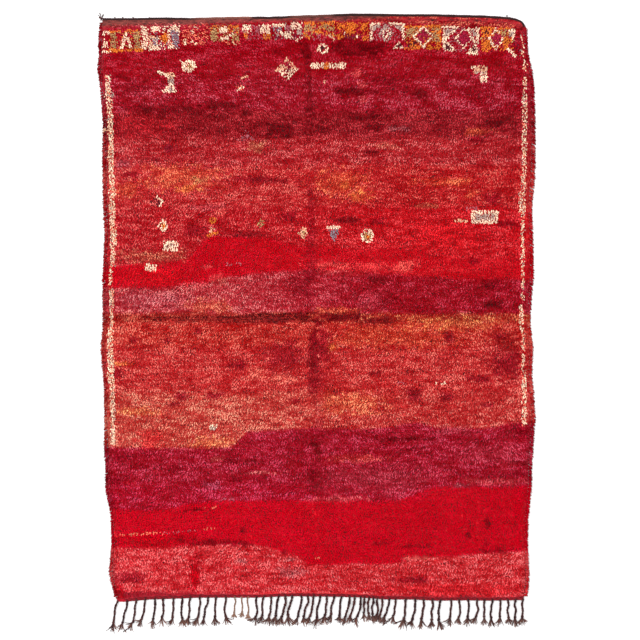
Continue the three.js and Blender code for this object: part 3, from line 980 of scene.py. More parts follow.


# The patches by cast. Where two overlap, the later one lies over the earlier. DARK and WINE patches near
# column 310 and across rows 313 to 324 are painted shade in the creases of the pile.
PATCHES = (
    (Tint.WINE, (
        (274, 283, 50.6, 56), (286, 295, 91, 96), (370, 401, 79, 85), (366, 375, 109, 116),
        (463, 488, 138, 142.5), (231, 268, 177.5, 182), (485, 500, 193.6, 204), (280, 297.4, 212.7, 221.5),
        (497, 520, 221.5, 227.4), (186, 206, 224, 237.6, 0.45), (470, 480, 258, 265), (481, 501, 282, 289),
        (131.6, 137.5, 337.7, 343.6), (165, 171, 339.6, 343.6), (230, 244.5, 359.7, 370),
        (114, 121, 368.5, 377), (407, 420.6, 387.6, 401), (441, 453, 392, 399.4), (174, 189, 393.5, 399.4),
        (206, 222.6, 393.5, 398.6), (169.7, 180, 403.8, 406.7), (483.6, 494, 403.8, 406.7),
        (508.6, 532, 424.7, 436.4), (397, 409, 448, 452.5), (169.7, 186, 467, 471), (507, 532, 471.6, 476),
        (231.4, 241.6, 476, 483.3), (256, 268, 474.5, 483.3), (106.7, 121.3, 479, 485),
        (485, 489.5, 518.5, 526), (240, 246, 526, 532), (432, 436.7, 527.4, 530.3), (466, 470.4, 532, 537.6),
        (483.6, 488, 539, 546.4), (374, 394, 542.3, 544.2), (403, 432.3, 545.4, 547.4),
        (481, 513, 548.6, 552.3), (112, 145, 573, 582, 0.5), (394, 429.4, 577, 583),
    )),
    (Tint.DARK, (
        (194, 247, 102, 110, 0.8), (126, 204, 105.5, 112.5, 0.6), (147, 218, 110, 116.6, 0.6),
        (103, 128, 75.5, 79.5, 0.5), (122, 150, 86, 92, 0.35), (239, 253, 111.5, 116),
        # Painted shade: the first two patches here darken the crease down the middle of the pile.
        (302, 312, 42.6, 58.7, 0.85), (306, 313, 58.7, 133, 0.6), (328, 388, 41, 57, 0.7),
        (360, 382, 43, 58, 0.4), (411, 426, 91.5, 98, 0.8), (334, 378, 88.6, 95.5, 0.6),
        (180, 195, 129, 133.5), (265, 294.4, 121.7, 138, 0.85), (346, 379.5, 114.4, 121),
        (312, 334, 126, 133.5), (362, 385, 124.7, 132, 0.85), (484, 504, 120, 126, 0.85),
        (268, 297, 180, 183.4), (307, 312, 187.7, 199.5), (335.5, 356, 217.8, 223),
        (221, 263.6, 231.8, 237, 0.5), (484, 504, 302.5, 308.4, 0.85), (368, 382.4, 372, 374.2),
        (416, 423.5, 446.7, 451), (220, 268, 459.6, 462.2, 0.7), (508.6, 533.5, 461, 463.7),
        (416, 420.6, 465.7, 468.7), (186, 202, 509.4, 511.4, 0.7),
    )),
    (Tint.ORANGE, (
        (459, 494, 129, 135, 0.35), (312, 371, 168.7, 198, 0.28), (339, 349, 183, 192, 0.4),
        (349, 372, 192, 202.4, 0.4), (415, 481, 179, 186, 0.3), (464.6, 478, 189, 201, 0.25),
        (115.5, 131.6, 363, 365.4, 0.5), (118.4, 159.5, 408, 415.5, 0.3),
    )),
    (Tint.GREY, (
        (384, 412, 127.3, 131.3, 0.5), (217, 233, 497.8, 500.2, 0.5), (239, 247.5, 559.6, 563.3, 0.5),
        (275, 309, 568.4, 577.2, 0.4),
    )),
    (Tint.MAUVE, (
        (103, 215, 23, 31, 0.4), (187, 231, 204, 211, 0.45), (353, 388, 292, 314, 0.4),
        (434, 473.4, 426, 435, 0.45),
    )),
    (Tint.PALE, (
        (371, 398.5, 144, 149, 0.35), (208, 227, 275, 283.5, 0.35), (209, 224, 458, 460.6, 0.35),
        (403, 429, 557, 559.4, 0.5),
    )),
    (Tint.SALMON, (
        (350, 364, 67, 78, 0.4), (358, 368, 82.5, 89.4, 0.35), (359.5, 368, 97.4, 102.4, 0.3),
        (300, 346, 259.6, 268, 0.3),
    )),
    (Tint.GREY_MAUVE, (
        (114, 130, 161, 168.7, 0.4), (114, 180, 289, 310, 0.25), (203.5, 221, 482, 489, 0.45),
    )),
    (Tint.OLIVE, ((247.5, 268, 142, 152.5, 0.4), (415, 438, 204, 208.3, 0.4), (118, 192, 251, 264, 0.35))),
    (Tint.RED, ((114, 180, 114, 139, 0.25), (136, 165, 432, 448, 0.45), (375, 528, 584, 596, 0.45))),
    (Tint.WINE, ((123, 139, 173, 177.5), (369, 384, 218.5, 224.4), (109.6, 124.3, 455.5, 461.3))),
    (Tint.CRIMSON, ((114, 194.7, 536, 546.4, 0.6), (113, 124, 584, 602, 0.8))),
    (Tint.DARK, ((359, 378, 151, 154), (369, 439.6, 438, 440.2, 0.7))),
    (Tint.WINE, ((183, 253.4, 540, 545.7, 0.7), (281, 288, 549, 554))),
    (Tint.CRIMSON, ((190, 200, 556, 593, 0.9),)),
    (Tint.GREY, ((285.6, 297.4, 558, 561, 0.5),)),
    (Tint.MAUVE, ((156.5, 192, 292, 313, 0.25),)),
    (Tint.ORANGE, ((186, 236, 438, 448, 0.3),)),
    (Tint.PALE, ((200.5, 212, 266.6, 268.8, 0.4),)),
    (Tint.RED, ((407, 481, 223, 251, 0.5), (112, 196, 266, 287, 0.45))),
    (Tint.SALMON, ((400, 420.6, 261, 270, 0.35), (312, 420, 263, 274.7, 0.3))),
    # Painted shade: the second patch here darkens the crease down the middle of the pile.
    (Tint.WINE, ((293, 312, 273, 301, 0.4), (307, 316, 180, 312, 0.35))),
    (Tint.ORANGE, ((186, 231, 300, 314, 0.25), (312, 363, 308, 313, 0.35))),
    # Painted shade: all but the first of these darken the crease across the middle of the pile.
    (Tint.DARK, (
        (371, 391, 275, 285), (190, 312, 314, 323, 0.25), (258, 312, 314, 322, 0.3),
        (308, 372, 313, 321, 0.75), (358, 396, 318, 324, 0.65),
    )),
    (Tint.OLIVE, ((425, 500, 313, 329, 0.2),)),
    (Tint.ORANGE, ((330, 452, 323, 350, 0.18), (400, 500, 318, 332, 0.2))),
    (Tint.WINE, (
        (195, 200.5, 329, 333.3), (491, 507, 332, 342), (444, 453, 332, 343.6),
        (265, 304.7, 342, 371.5, 0.45),
    )),
    # Painted shade: the first patch here darkens the crease down the middle of the pile.
    (Tint.DARK, ((308, 319, 321, 396, 0.55), (490, 522, 328, 382, 0.3))),
    # Painted shade: the first three patches here darken the crease down the middle of the pile.
    (Tint.WINE, (
        (312, 331, 326, 364, 0.55), (310, 326, 366, 392, 0.3), (313, 322, 392, 500, 0.3),
        (492, 520, 354, 377.4, 0.5), (469, 489.5, 376, 382), (288.6, 300, 399.4, 403),
    )),
    (Tint.SALMON, ((247.5, 265, 368.5, 380.3, 0.4), (268, 297, 373, 383, 0.4))),
    (Tint.ORANGE, ((328, 338.4, 345, 351, 0.5), (319, 385, 392, 415.5, 0.25))),
    # Painted shade: this patch darkens the crease down the middle of the pile.
    (Tint.DARK, ((312, 322.3, 443.7, 455.5, 0.85),)),
    (Tint.PURPLE, ((165, 175.6, 146.7, 152.5, 0.5),)),
    (Tint.DARK, ((146, 159.5, 158, 161),)),
    (Tint.ORANGE, ((143, 224, 165.7, 192, 0.28), (177, 200.6, 186, 192, 0.4), (114, 140, 183, 198, 0.3))),
    (Tint.OLIVE, ((192, 209, 177.5, 183, 0.45),)),
    (Tint.SALMON, ((215, 228.4, 207, 218.5, 0.35),)),
    # Painted shade: this patch darkens the crease down the middle of the pile.
    (Tint.WINE, ((307.6, 321, 464, 493.6, 0.6),)),
    (Tint.ORANGE, ((321, 388, 455.5, 462, 0.22),)),
    (Tint.MAUVE, ((321, 438, 464, 498, 0.42), (451, 532, 443.7, 464, 0.3))),
    (Tint.SALMON, ((459, 532, 479, 484.8, 0.3), (312, 371, 497, 501.7, 0.35))),
    (Tint.GREY, ((451, 470, 485, 488, 0.5),)),
    (Tint.PALE, ((239, 282.7, 471.4, 474, 0.35),)),
)

CREAM, SAND, GREY, BLUE_GREY, OLIVE, ORANGE, PURPLE, MAGENTA, MAUVE, DARK, PAINTED_CREASE_SHADE, SALMON, RED = Yarn
BORDER = (
    Block(109.5, 140.5, 30, 51.5, ORANGE, 0.2), Block(110, 140, 31, 50, OLIVE, 0.18),
    Block(141, 180, 26, 50, CREAM, 0.2), Block(150, 180, 33, 49, BLUE_GREY, 0.2),
    Block(182, 208, 23, 46, SALMON, 0.3), Block(209.5, 240, 25, 41.5, OLIVE, 0.25),
    Block(209.5, 240, 25, 34, ORANGE, 0.2), Block(242, 272, 25, 40, MAUVE, 0.35),
    Block(273, 303, 23, 40, GREY, 0.3), Block(304, 335, 21.5, 35, ORANGE, 0.35),
    Block(304, 335, 24, 38, OLIVE, 0.2), Block(336, 369, 23, 40, ORANGE, 0.3),
    Block(405, 440.5, 26, 49.5, ORANGE, 0.35), Block(405, 440.5, 26, 42, OLIVE, 0.3),
    Block(443, 479, 28, 53, MAUVE, 0.3), Block(480.5, 514, 28.5, 51, ORANGE, 0.35),
    Block(480.5, 514, 28.5, 44, OLIVE, 0.25), Stroke(102.7, 33.5, 109, 33.5, 3.2, CREAM),
    Disc(103.8, 39, 1.8, 2, CREAM), Triangle((105.3, 38.5), (101.6, 48.2), (109.2, 48.2), CREAM),
    Stroke(103.6, 52.4, 109, 52.4, 3.2, CREAM), Stroke(110.3, 32, 120.6, 32, 2.4, ORANGE),
    Block(111, 116, 32.8, 49.8, OLIVE), Block(116, 121.5, 34.6, 41.7, RED),
    Stroke(109.4, 51, 122.8, 51, 3, ORANGE), Stroke(126.8, 34.5, 121.8, 49, 3, CREAM),
    Stroke(126.8, 34.5, 130.8, 47, 2.6, CREAM), Stroke(127.7, 30.8, 138.4, 30.8, 2.4, ORANGE),
    Block(134, 140.2, 32, 49, OLIVE), Stroke(128.6, 50.7, 142, 50.7, 3, ORANGE),
    Block(141, 149, 27.2, 32, CREAM), Block(151, 161, 26.5, 32, CREAM), Block(142, 148.3, 32, 50, CREAM),
    Block(149, 158.5, 36.4, 50, SAND), Block(152.7, 157.2, 38.5, 45.5, BLUE_GREY),
    Block(149.5, 160, 45.5, 50.4, CREAM), Diamond(165.2, 38.6, 5.2, 6.2, ORANGE),
    Block(168, 180, 25.6, 32, CREAM), Block(172.4, 179.5, 31, 46.2, BLUE_GREY, 0.8),
    Block(168, 174.2, 45.3, 49.2, CREAM), Stroke(168.4, 33, 171.6, 44, 2.4, SAND, 0.7),
    Disc(192.9, 31.9, 1.6, 1.4, CREAM), Disc(195.6, 27, 1.6, 1.4, CREAM), Disc(185, 40, 1.5, 1.4, SAND),
    Disc(186, 43.6, 1.5, 1.4, CREAM), Disc(193, 42.2, 1.6, 1.4, CREAM), Disc(196, 44.6, 1.5, 1.3, CREAM),
    Disc(198.3, 27.4, 1.5, 1.4, GREY), Block(184, 204, 33, 38, SALMON, 0.25),
    Block(209.4, 217, 25.2, 28, ORANGE), Block(210.8, 217, 28, 41.7, OLIVE),
    Block(220, 228.5, 27.4, 33.7, CREAM), Stroke(222.4, 38.6, 228.4, 38.6, 3.4, CREAM),
    Stroke(228.4, 37.4, 233.9, 34.6, 1.8, CREAM), Block(229.4, 239, 25.6, 28.6, ORANGE),
    Block(233.4, 239, 28.4, 32, OLIVE), Block(232.5, 239, 34.6, 41.7, OLIVE),
    Stroke(224, 41, 229.6, 45, 1.8, SALMON, 0.8), Stroke(231, 41, 236, 45, 1.8, SAND, 0.8),
    Stroke(237, 41.4, 241.4, 45, 1.8, SALMON, 0.8), Block(242.4, 251.4, 25.2, 32, CREAM),
    Block(243.8, 248.4, 32, 35.6, SAND), Block(244, 248, 33.8, 39, ORANGE),
    Block(255, 262, 26.5, 32.8, MAUVE), Block(260.4, 270, 25.2, 33.7, CREAM),
    Block(263, 270.5, 33.7, 40.4, ORANGE), Block(273, 285, 23.9, 27.6, CREAM),
    Block(273.6, 281.6, 27.4, 32.8, BLUE_GREY), Block(286, 291.5, 24.8, 32, MAUVE),
    Block(290.8, 302.2, 22.5, 30, CREAM), Block(285, 292.4, 32, 40, CREAM),
    Stroke(279.9, 32, 286, 37.3, 2.2, CREAM), Block(274.5, 283.4, 36.4, 40.8, PURPLE),
    Block(293.5, 301.3, 33.7, 40, PURPLE), Block(296.8, 302.2, 30, 35.5, GREY),
    Stroke(297, 41, 302, 38, 2, CREAM), Block(305, 314.7, 22, 26.5, ORANGE),
    Block(305, 313, 25.6, 32, OLIVE), Diamond(318.3, 32.3, 4, 3.4, ORANGE),
    Block(318.3, 327.2, 24.8, 29.2, OLIVE, 0.5), Block(321.8, 334.3, 21.6, 25.4, ORANGE),
    Block(327.2, 334.3, 25.2, 32, OLIVE), Stroke(304.4, 34, 309.6, 38.6, 2.4, ORANGE),
    Triangle((320, 34), (311, 41), (329, 41), MAUVE, 0.45), Stroke(329.4, 36, 334.8, 41.4, 2.4, SAND),
    Stroke(331, 34, 335, 37, 1.8, ORANGE), Block(338, 344.4, 24.4, 29.7, ORANGE),
    Block(346.5, 355, 22.8, 34.3, ORANGE), Block(360.3, 368.3, 23.6, 30.5, ORANGE),
    Block(338, 343, 35.6, 39.9, ORANGE), Block(362.6, 368, 37.4, 41.2, ORANGE),
    Block(344.8, 361, 34.5, 39.7, PURPLE, 0.7), Disc(344.6, 34.3, 1.4, 1.3, CREAM),
    Disc(357, 37.4, 1.4, 1.3, CREAM), Block(370, 404.3, 23.4, 41, MAUVE, 0.35),
    Stroke(371, 24.2, 382.5, 24.2, 2.2, CREAM), Stroke(371.2, 25, 371.2, 39.7, 2.6, CREAM),
    Triangle((373, 25.6), (382, 25.6), (373, 33.5), GREY), Stroke(389.8, 24.2, 403.2, 24.2, 2.2, CREAM),
    Triangle((403, 25.8), (392, 25.8), (403, 33.5), GREY), Stroke(403, 24.6, 403, 39, 2.6, CREAM),
    Diamond(385.6, 34, 8.6, 10, GREY, 0, 0.7), Diamond(385.6, 34, 4.6, 5.6, CREAM, 1.6, 0.7),
    Disc(385.8, 32.6, 1.7, 1.5, PURPLE), Triangle((399.3, 41), (392, 49), (404, 49), CREAM),
    Triangle((399.2, 43.5), (395, 47.4), (402, 47.4), DARK), Stroke(405.4, 26.9, 420, 26.9, 2.2, ORANGE),
    Block(406.2, 415.4, 28.2, 36.6, OLIVE), Diamond(423, 37, 10.6, 11.6, CREAM, 2.2, 0.8),
    Diamond(423, 37, 6.4, 7.4, MAGENTA), Stroke(425.3, 26.9, 440.3, 26.9, 2.2, ORANGE),
    Block(433.4, 440, 28.2, 42, OLIVE), Block(436, 440, 31, 38, ORANGE, 0.7),
    Block(404.7, 417, 41, 48, DARK, 0.5), Stroke(404.3, 49, 418.8, 49, 2.2, ORANGE),
    Stroke(427.6, 48.8, 440, 48.8, 2.2, ORANGE), Stroke(440, 27, 440, 49, 1.8, ORANGE, 0.7),
    Stroke(442.3, 27.9, 457, 27.9, 2.4, CREAM), Stroke(443.6, 29, 443.6, 47.5, 2.4, CREAM),
    Triangle((444.6, 29.2), (455, 29.2), (444.6, 38), GREY), Stroke(457, 28.4, 445, 39.7, 2.2, CREAM),
    Triangle((444.2, 40), (457.2, 51.6), (443, 51.6), CREAM),
    Triangle((445.4, 43.4), (452.6, 49.8), (445.4, 49.8), DARK),
    Diamond(463.4, 38.9, 9.8, 11, CREAM, 1.8, 0.55), Diamond(463.4, 38.9, 7.4, 8.6, MAGENTA),
    Stroke(468, 29.3, 478.3, 29.3, 2.4, CREAM), Block(470.3, 477.1, 30.5, 36.6, GREY),
    Stroke(477.3, 30, 477.3, 43, 2.6, CREAM), Stroke(468, 31.2, 474.8, 43.5, 2.2, CREAM),
    Triangle((475.6, 42.5), (465.8, 55), (478.4, 55), CREAM),
    Triangle((474.8, 46.4), (470.6, 52), (476.8, 52), DARK), Stroke(480.2, 28.8, 492.4, 28.8, 2.2, ORANGE),
    Block(481, 491.7, 29.7, 38.1, ORANGE, 0.75), Disc(485.6, 32.6, 2.2, 2, DARK),
    Diamond(495.6, 39.6, 8.4, 11.2, CREAM, 2, 0.75), Diamond(496.6, 39.8, 5.4, 7.8, MAGENTA),
    Stroke(499.3, 29.2, 508.5, 29.2, 2.4, ORANGE), Block(503.2, 508.5, 31, 36.8, OLIVE),
    Block(508.5, 514.4, 31.6, 37, GREY), Stroke(508.5, 31, 515, 31, 2.2, CREAM),
    Stroke(515, 32, 512.3, 39, 2.2, CREAM), Block(481, 490.2, 40.4, 52, ORANGE, 0.8),
    Block(503.2, 508.5, 38.1, 49.6, ORANGE, 0.85), Stroke(507, 48.8, 515.4, 56.5, 2.6, CREAM),
    Block(513, 520.4, 38, 53, PURPLE, 0.45),
)

# The stripe beside each rim: its upper and lower row, and its left and right column at each.
LEFT_STRIPE = (
    (75.6, 100, 105, 111), (100, 110, 107, 113), (110, 130, 107.4, 113.3), (130, 160, 108, 113.6),
    (160, 175, 108.6, 114), (175, 213, 109, 115.5), (213, 226, 109.6, 115.6), (226, 247, 110.3, 116.8),
    (247, 268, 110.6, 115.6), (269, 286, 109.4, 112.2), (289, 311, 109.6, 114), (311, 326, 110, 113.6),
    (326, 355, 107.4, 113.3), (355, 385, 107.6, 114.4), (385, 410, 110, 114.9), (410, 446.7, 110.8, 115.6),
)
RIGHT_STRIPE = (
    (32.8, 48.8, 520.8, 524.2), (51, 57.3, 520, 523.8), (59.6, 72.6, 522.3, 527.3), (77, 86, 522.3, 526.9),
    (88, 94, 522.3, 526), (94, 116, 521.5, 526.9), (116, 176, 521.8, 526.4), (176, 192, 520.6, 525.4),
    (192, 212.7, 518.6, 525.2), (212.7, 240, 520.6, 524.2), (240, 268, 520.8, 524), (268, 300, 520.8, 524),
    (306, 330, 518.8, 523.4), (330, 371, 521.4, 524.4), (371, 400, 521.6, 526.2), (400, 426, 521.8, 526.4),
)

MOTIFS = (
    # Painted shade: the first four strokes are the dark lines of the crease across the middle of the pile.
    Stroke(246, 315.2, 308, 313.8, 1.2, PAINTED_CREASE_SHADE, 0.95), Stroke(140, 317.8, 308, 316.4, 1.3, PAINTED_CREASE_SHADE, 0.95),
    Stroke(150, 320.1, 308, 319.1, 1.3, PAINTED_CREASE_SHADE, 0.95), Stroke(222, 322.4, 300, 321.8, 1.2, PAINTED_CREASE_SHADE, 0.85),
    Disc(189.3, 66.7, 7.2, 6.4, CREAM), Disc(189.6, 67.2, 2.6, 2.4, OLIVE),
    Stroke(181.3, 61.8, 185, 64, 2.4, CREAM), Block(167, 175.2, 72.5, 80, SAND, 0.95),
    Stroke(159, 72.8, 168, 77, 3, CREAM), Block(168.2, 174.8, 78.6, 87, GREY, 0.9),
    Triangle((170.8, 82), (162.6, 93), (178.4, 93), CREAM), Disc(170.8, 90, 2.4, 1.8, GREY),
    Stroke(240, 79.8, 247.6, 77.4, 2.4, SAND, 0.8), Block(236, 243.7, 86, 92.2, SALMON, 0.7),
    Stroke(237, 91, 243, 87.4, 2, CREAM), Triangle((287, 57.8), (275, 72), (299, 70), SAND, 0.72),
    Triangle((275.6, 71), (298.6, 69), (288, 80.6), CREAM, 0.75), Disc(287, 69, 3.6, 4, PURPLE, 0.5),
    Disc(322.7, 48.9, 5.4, 5.2, CREAM, 0.75), Disc(322.7, 48.9, 2, 1.9, DARK),
    Stroke(313, 66.4, 323.6, 66.4, 5.2, CREAM, 0.85), Block(323.6, 330, 63.6, 69.4, ORANGE),
    Stroke(331, 66.2, 344.4, 66.2, 5.6, CREAM, 0.85), Disc(324.7, 81.9, 1.7, 1.5, SAND),
    Block(473.4, 487.2, 66.2, 74.2, SAND), Stroke(471.2, 68, 475, 67, 2.4, CREAM),
    Block(480, 487.2, 74, 83, CREAM, 0.85), Stroke(475, 73, 486, 73, 2, GREY, 0.6),
    Triangle((246, 130.5), (237, 141), (256, 141), MAUVE, 0.5), Stroke(156.5, 196.5, 162.6, 201, 2.2, CREAM),
    Stroke(162.8, 201, 160.4, 207, 2.2, CREAM), Block(151, 160, 199, 206.8, DARK, 0.5),
    Diamond(163, 226.5, 5.2, 7.8, CREAM), Diamond(163, 226.5, 2.4, 3.8, ORANGE),
    Disc(212.6, 220.8, 3.9, 3.6, ORANGE, 0.75), Disc(212.4, 230.6, 3, 2.6, SAND, 0.6),
    Stroke(208, 235.6, 216.4, 233.6, 3, ORANGE, 0.85), Disc(260.6, 223.6, 4, 4.4, OLIVE, 0.7),
    Diamond(303.5, 233, 5.6, 6.8, SAND, 0, 0.85), Disc(303.5, 233, 1.8, 2, OLIVE),
    Block(163, 178.5, 241.3, 251.6, CREAM, 0.9), Stroke(167, 247, 175, 245, 1.8, GREY, 0.7),
    Stroke(328.4, 228, 338, 228, 3.2, CREAM), Triangle((328, 230), (338.6, 230), (334.6, 243), BLUE_GREY),
    Disc(367.5, 236, 6.4, 7.2, CREAM, 0.85), Disc(367.5, 236.4, 3.8, 4.4, OLIVE),
    Disc(367.5, 236.4, 1.8, 2, ORANGE), Block(471.2, 498.3, 211, 224, CREAM, 0.95),
    Block(475.4, 494.6, 214.6, 220.4, GREY, 0.95), Stroke(456, 221.4, 460.6, 221, 2.4, SAND),
    Stroke(463, 221.6, 467.6, 221.2, 2.4, SAND), Block(466, 478, 207, 211, MAUVE, 0.6),
    Block(144.3, 157.3, 264.4, 271.6, CREAM, 0.75), Block(226, 232, 262.6, 266, MAUVE, 0.5),
    Block(237, 243, 262.6, 265.6, MAUVE, 0.5), Block(209.4, 216.7, 424.7, 430, CREAM, 0.8),
    Disc(213, 428.6, 2.2, 1.5, GREY), Stroke(435.6, 383.4, 444.6, 383.4, 2.6, CREAM, 0.8),
    Stroke(398.5, 383.2, 403.5, 383.2, 2.4, MAUVE, 0.6), Stroke(110, 95, 113, 96, 4.5, GREY),
    Stroke(103, 130.6, 108, 130.6, 3, SAND, 0.8), Stroke(313.6, 559, 319, 557, 1.8, SALMON, 0.5),
    Stroke(114, 535, 162, 533, 2, SALMON, 0.5), Stroke(162, 533, 195, 530.8, 2, MAUVE, 0.5),
    Stroke(200.5, 529.6, 214, 528.2, 1.8, SALMON, 0.45), Stroke(202, 508, 216.7, 508, 1.6, SALMON, 0.5),
)


@dataclass(frozen=True)
class Tone:
    """A mottled colour: its dark, middle and light yarns."""

    dark: RGB
    middle: RGB
    light: RGB


@dataclass(frozen=True)
class Band:
    """A band of the ground colour, from its upper line down to where the next one begins."""

    start: Points
    left: Tone
    right: Tone
    soft: float = 7.0
    mottle: float = 1.0


def level(row: float) -> Points:
    """A band's upper line that runs straight across."""
    return ((100.0, row), (530.0, row))


TOP = Tone((134, 2, 16), (155, 13, 30), (184, 55, 63))
CRIMSON = Tone((126, 4, 17), (158, 24, 39), (196, 73, 80))
SHADOWED = Tone((105, 6, 15), (148, 32, 38), (190, 60, 62))
ROSE = Tone((145, 13, 20), (175, 46, 48), (214, 89, 84))
SALMON_TOP = Tone((155, 20, 23), (188, 52, 52), (224, 92, 83))
SALMON_TOP_RIGHT = Tone((148, 9, 15), (182, 40, 41), (222, 85, 75))
RUBY = Tone((145, 8, 16), (177, 35, 40), (219, 83, 77))
RUBY_RIGHT = Tone((162, 5, 15), (191, 29, 35), (225, 66, 66))
BRIGHT = Tone((169, 1, 18), (187, 10, 29), (213, 39, 53))
BRIGHT_RIGHT = Tone((160, 1, 15), (188, 17, 30), (233, 68, 63))
PLUM = Tone((149, 22, 29), (185, 60, 62), (224, 104, 97))
PLUM_RIGHT = Tone((127, 3, 16), (157, 21, 36), (197, 61, 71))
CREASE = Tone((122, 10, 10), (165, 50, 42), (206, 90, 72))
CREASE_RIGHT = Tone((138, 14, 12), (180, 60, 46), (222, 108, 78))
BRICK = Tone((150, 15, 15), (189, 54, 47), (226, 95, 81))
CORAL = Tone((157, 18, 22), (193, 55, 52), (227, 93, 83))
PEACH = Tone((161, 34, 30), (198, 74, 64), (233, 117, 98))
PEACH_RIGHT = Tone((155, 20, 23), (191, 59, 54), (229, 102, 90))
MAROON = Tone((131, 5, 19), (162, 28, 44), (202, 66, 79))
MAROON_LOW = Tone((146, 5, 24), (170, 26, 44), (208, 64, 81))
SCARLET = Tone((174, 1, 22), (196, 8, 33), (212, 26, 50))
SCARLET_RIGHT = Tone((168, 1, 22), (190, 6, 31), (210, 24, 47))
LOW_SALMON = Tone((170, 19, 26), (211, 59, 60), (242, 97, 93))
LOW_SALMON_RIGHT = Tone((164, 18, 24), (205, 55, 56), (238, 96, 93))
HEM = Tone((134, 12, 24), (153, 34, 43), (176, 52, 60))

TUFTED_END = Tone((118, 36, 34), (152, 58, 54), (194, 98, 88))
TUFTED_END_RIGHT = Tone((120, 8, 16), (158, 40, 42), (216, 98, 78))

BANDS = (
    Band(level(0), TUFTED_END, TUFTED_END_RIGHT),
    Band(
        ((100, 28), (180, 26.5), (210, 24), (290, 21), (335, 20.5), (400, 24), (440, 26.5), (525, 30)),
        TOP, TOP, 3.0,
    ),
    Band(level(78), CRIMSON, CRIMSON, 12.0),
    Band(level(112), SHADOWED, SHADOWED, 8.0),
    Band(level(138), ROSE, ROSE, 10.0),
    Band(level(166), SALMON_TOP, SALMON_TOP_RIGHT, 12.0),
    Band(level(208), RUBY, RUBY_RIGHT, 10.0),
    Band(
        (
            (105, 267), (114, 266), (151, 263.3), (186, 259.6), (192, 256.7), (203.5, 242), (215, 236),
            (262, 239), (301, 247), (370, 249), (426, 250), (430, 258), (519, 259),
        ),
        BRIGHT, BRIGHT_RIGHT, 3.0, 0.55,
    ),
    Band(
        (
            (105, 287), (142, 288.6), (162, 287.9), (187, 283.5), (206, 282.7), (236, 276), (268, 272.5),
            (312, 270.5), (368, 273), (415, 275.4), (467, 279), (524, 278.5),
        ),
        PLUM, PLUM_RIGHT, 4.0,
    ),
    Band(level(313.5), CREASE, CREASE_RIGHT, 4.0),
    Band(level(322.5), BRICK, BRICK, 3.0),
    Band(level(347), CORAL, CORAL, 10.0),
    Band(level(392), PEACH, PEACH_RIGHT, 10.0),
    Band(
        (
            (105, 447), (114, 449), (156, 449), (224, 448), (233, 446.7), (239, 439.3), (247.5, 432),
            (290, 429), (368, 429), (394, 427), (406, 423), (415, 421.7), (440, 428.3), (495, 428.3),
            (508.6, 423.2), (532, 424),
        ),
        MAROON, MAROON, 3.0,
    ),
    Band(level(484), MAROON_LOW, MAROON_LOW, 10.0),
    Band(
        (
            (114, 509.8), (143, 511.2), (162, 509.8), (180, 506.8), (202, 501.7), (239, 501), (370, 501.5),
            (400, 500), (406, 498), (415, 494.3), (425, 490), (437, 486.5), (453, 487), (495, 487),
            (532, 485.5),
        ),
        SCARLET, SCARLET_RIGHT, 2.0, 0.45,
    ),
    Band(
        (
            (114, 547.9), (162, 547.2), (183, 545.7), (224, 544.2), (253, 544.2), (268, 546.4),
            (281, 550.8), (297, 556.7), (306, 562.6), (320, 564), (396, 563.3), (407, 561), (415, 558.9),
            (440, 556.7), (481, 553.8), (497, 551.6), (528, 551.6),
        ),
        LOW_SALMON, LOW_SALMON_RIGHT, 2.0,
    ),
    Band(((114, 592), (200, 593.5), (240, 595), (530, 597)), HEM, HEM, 3.0, 0.6),
)

STRIPE_YARNS = ((SALMON, 0.88), (SAND, 0.76), (CREAM, 0.52), (GREY, 0.1))

# Where the pile begins below the bare upper end, and that end's colour, both from left to right.
BARE_LINE = ((100, 26), (190, 24.5), (250, 22.5), (335, 21.5), (386, 16), (530, 16))
END_BAND = (
    (100, (142, 72, 64)), (300, (142, 78, 68)), (332, (140, 74, 70)), (358, (120, 66, 56)),
    (386, (110, 72, 50)), (395, (130, 62, 44)), (405, (126, 24, 28)), (530, (126, 24, 28)),
)


@dataclass(frozen=True)
class Spots:
    """Places on the chart, by column and row, and how light each yarn is within its tone, from 0 to 1."""

    column: Array
    row: Array
    share: Array


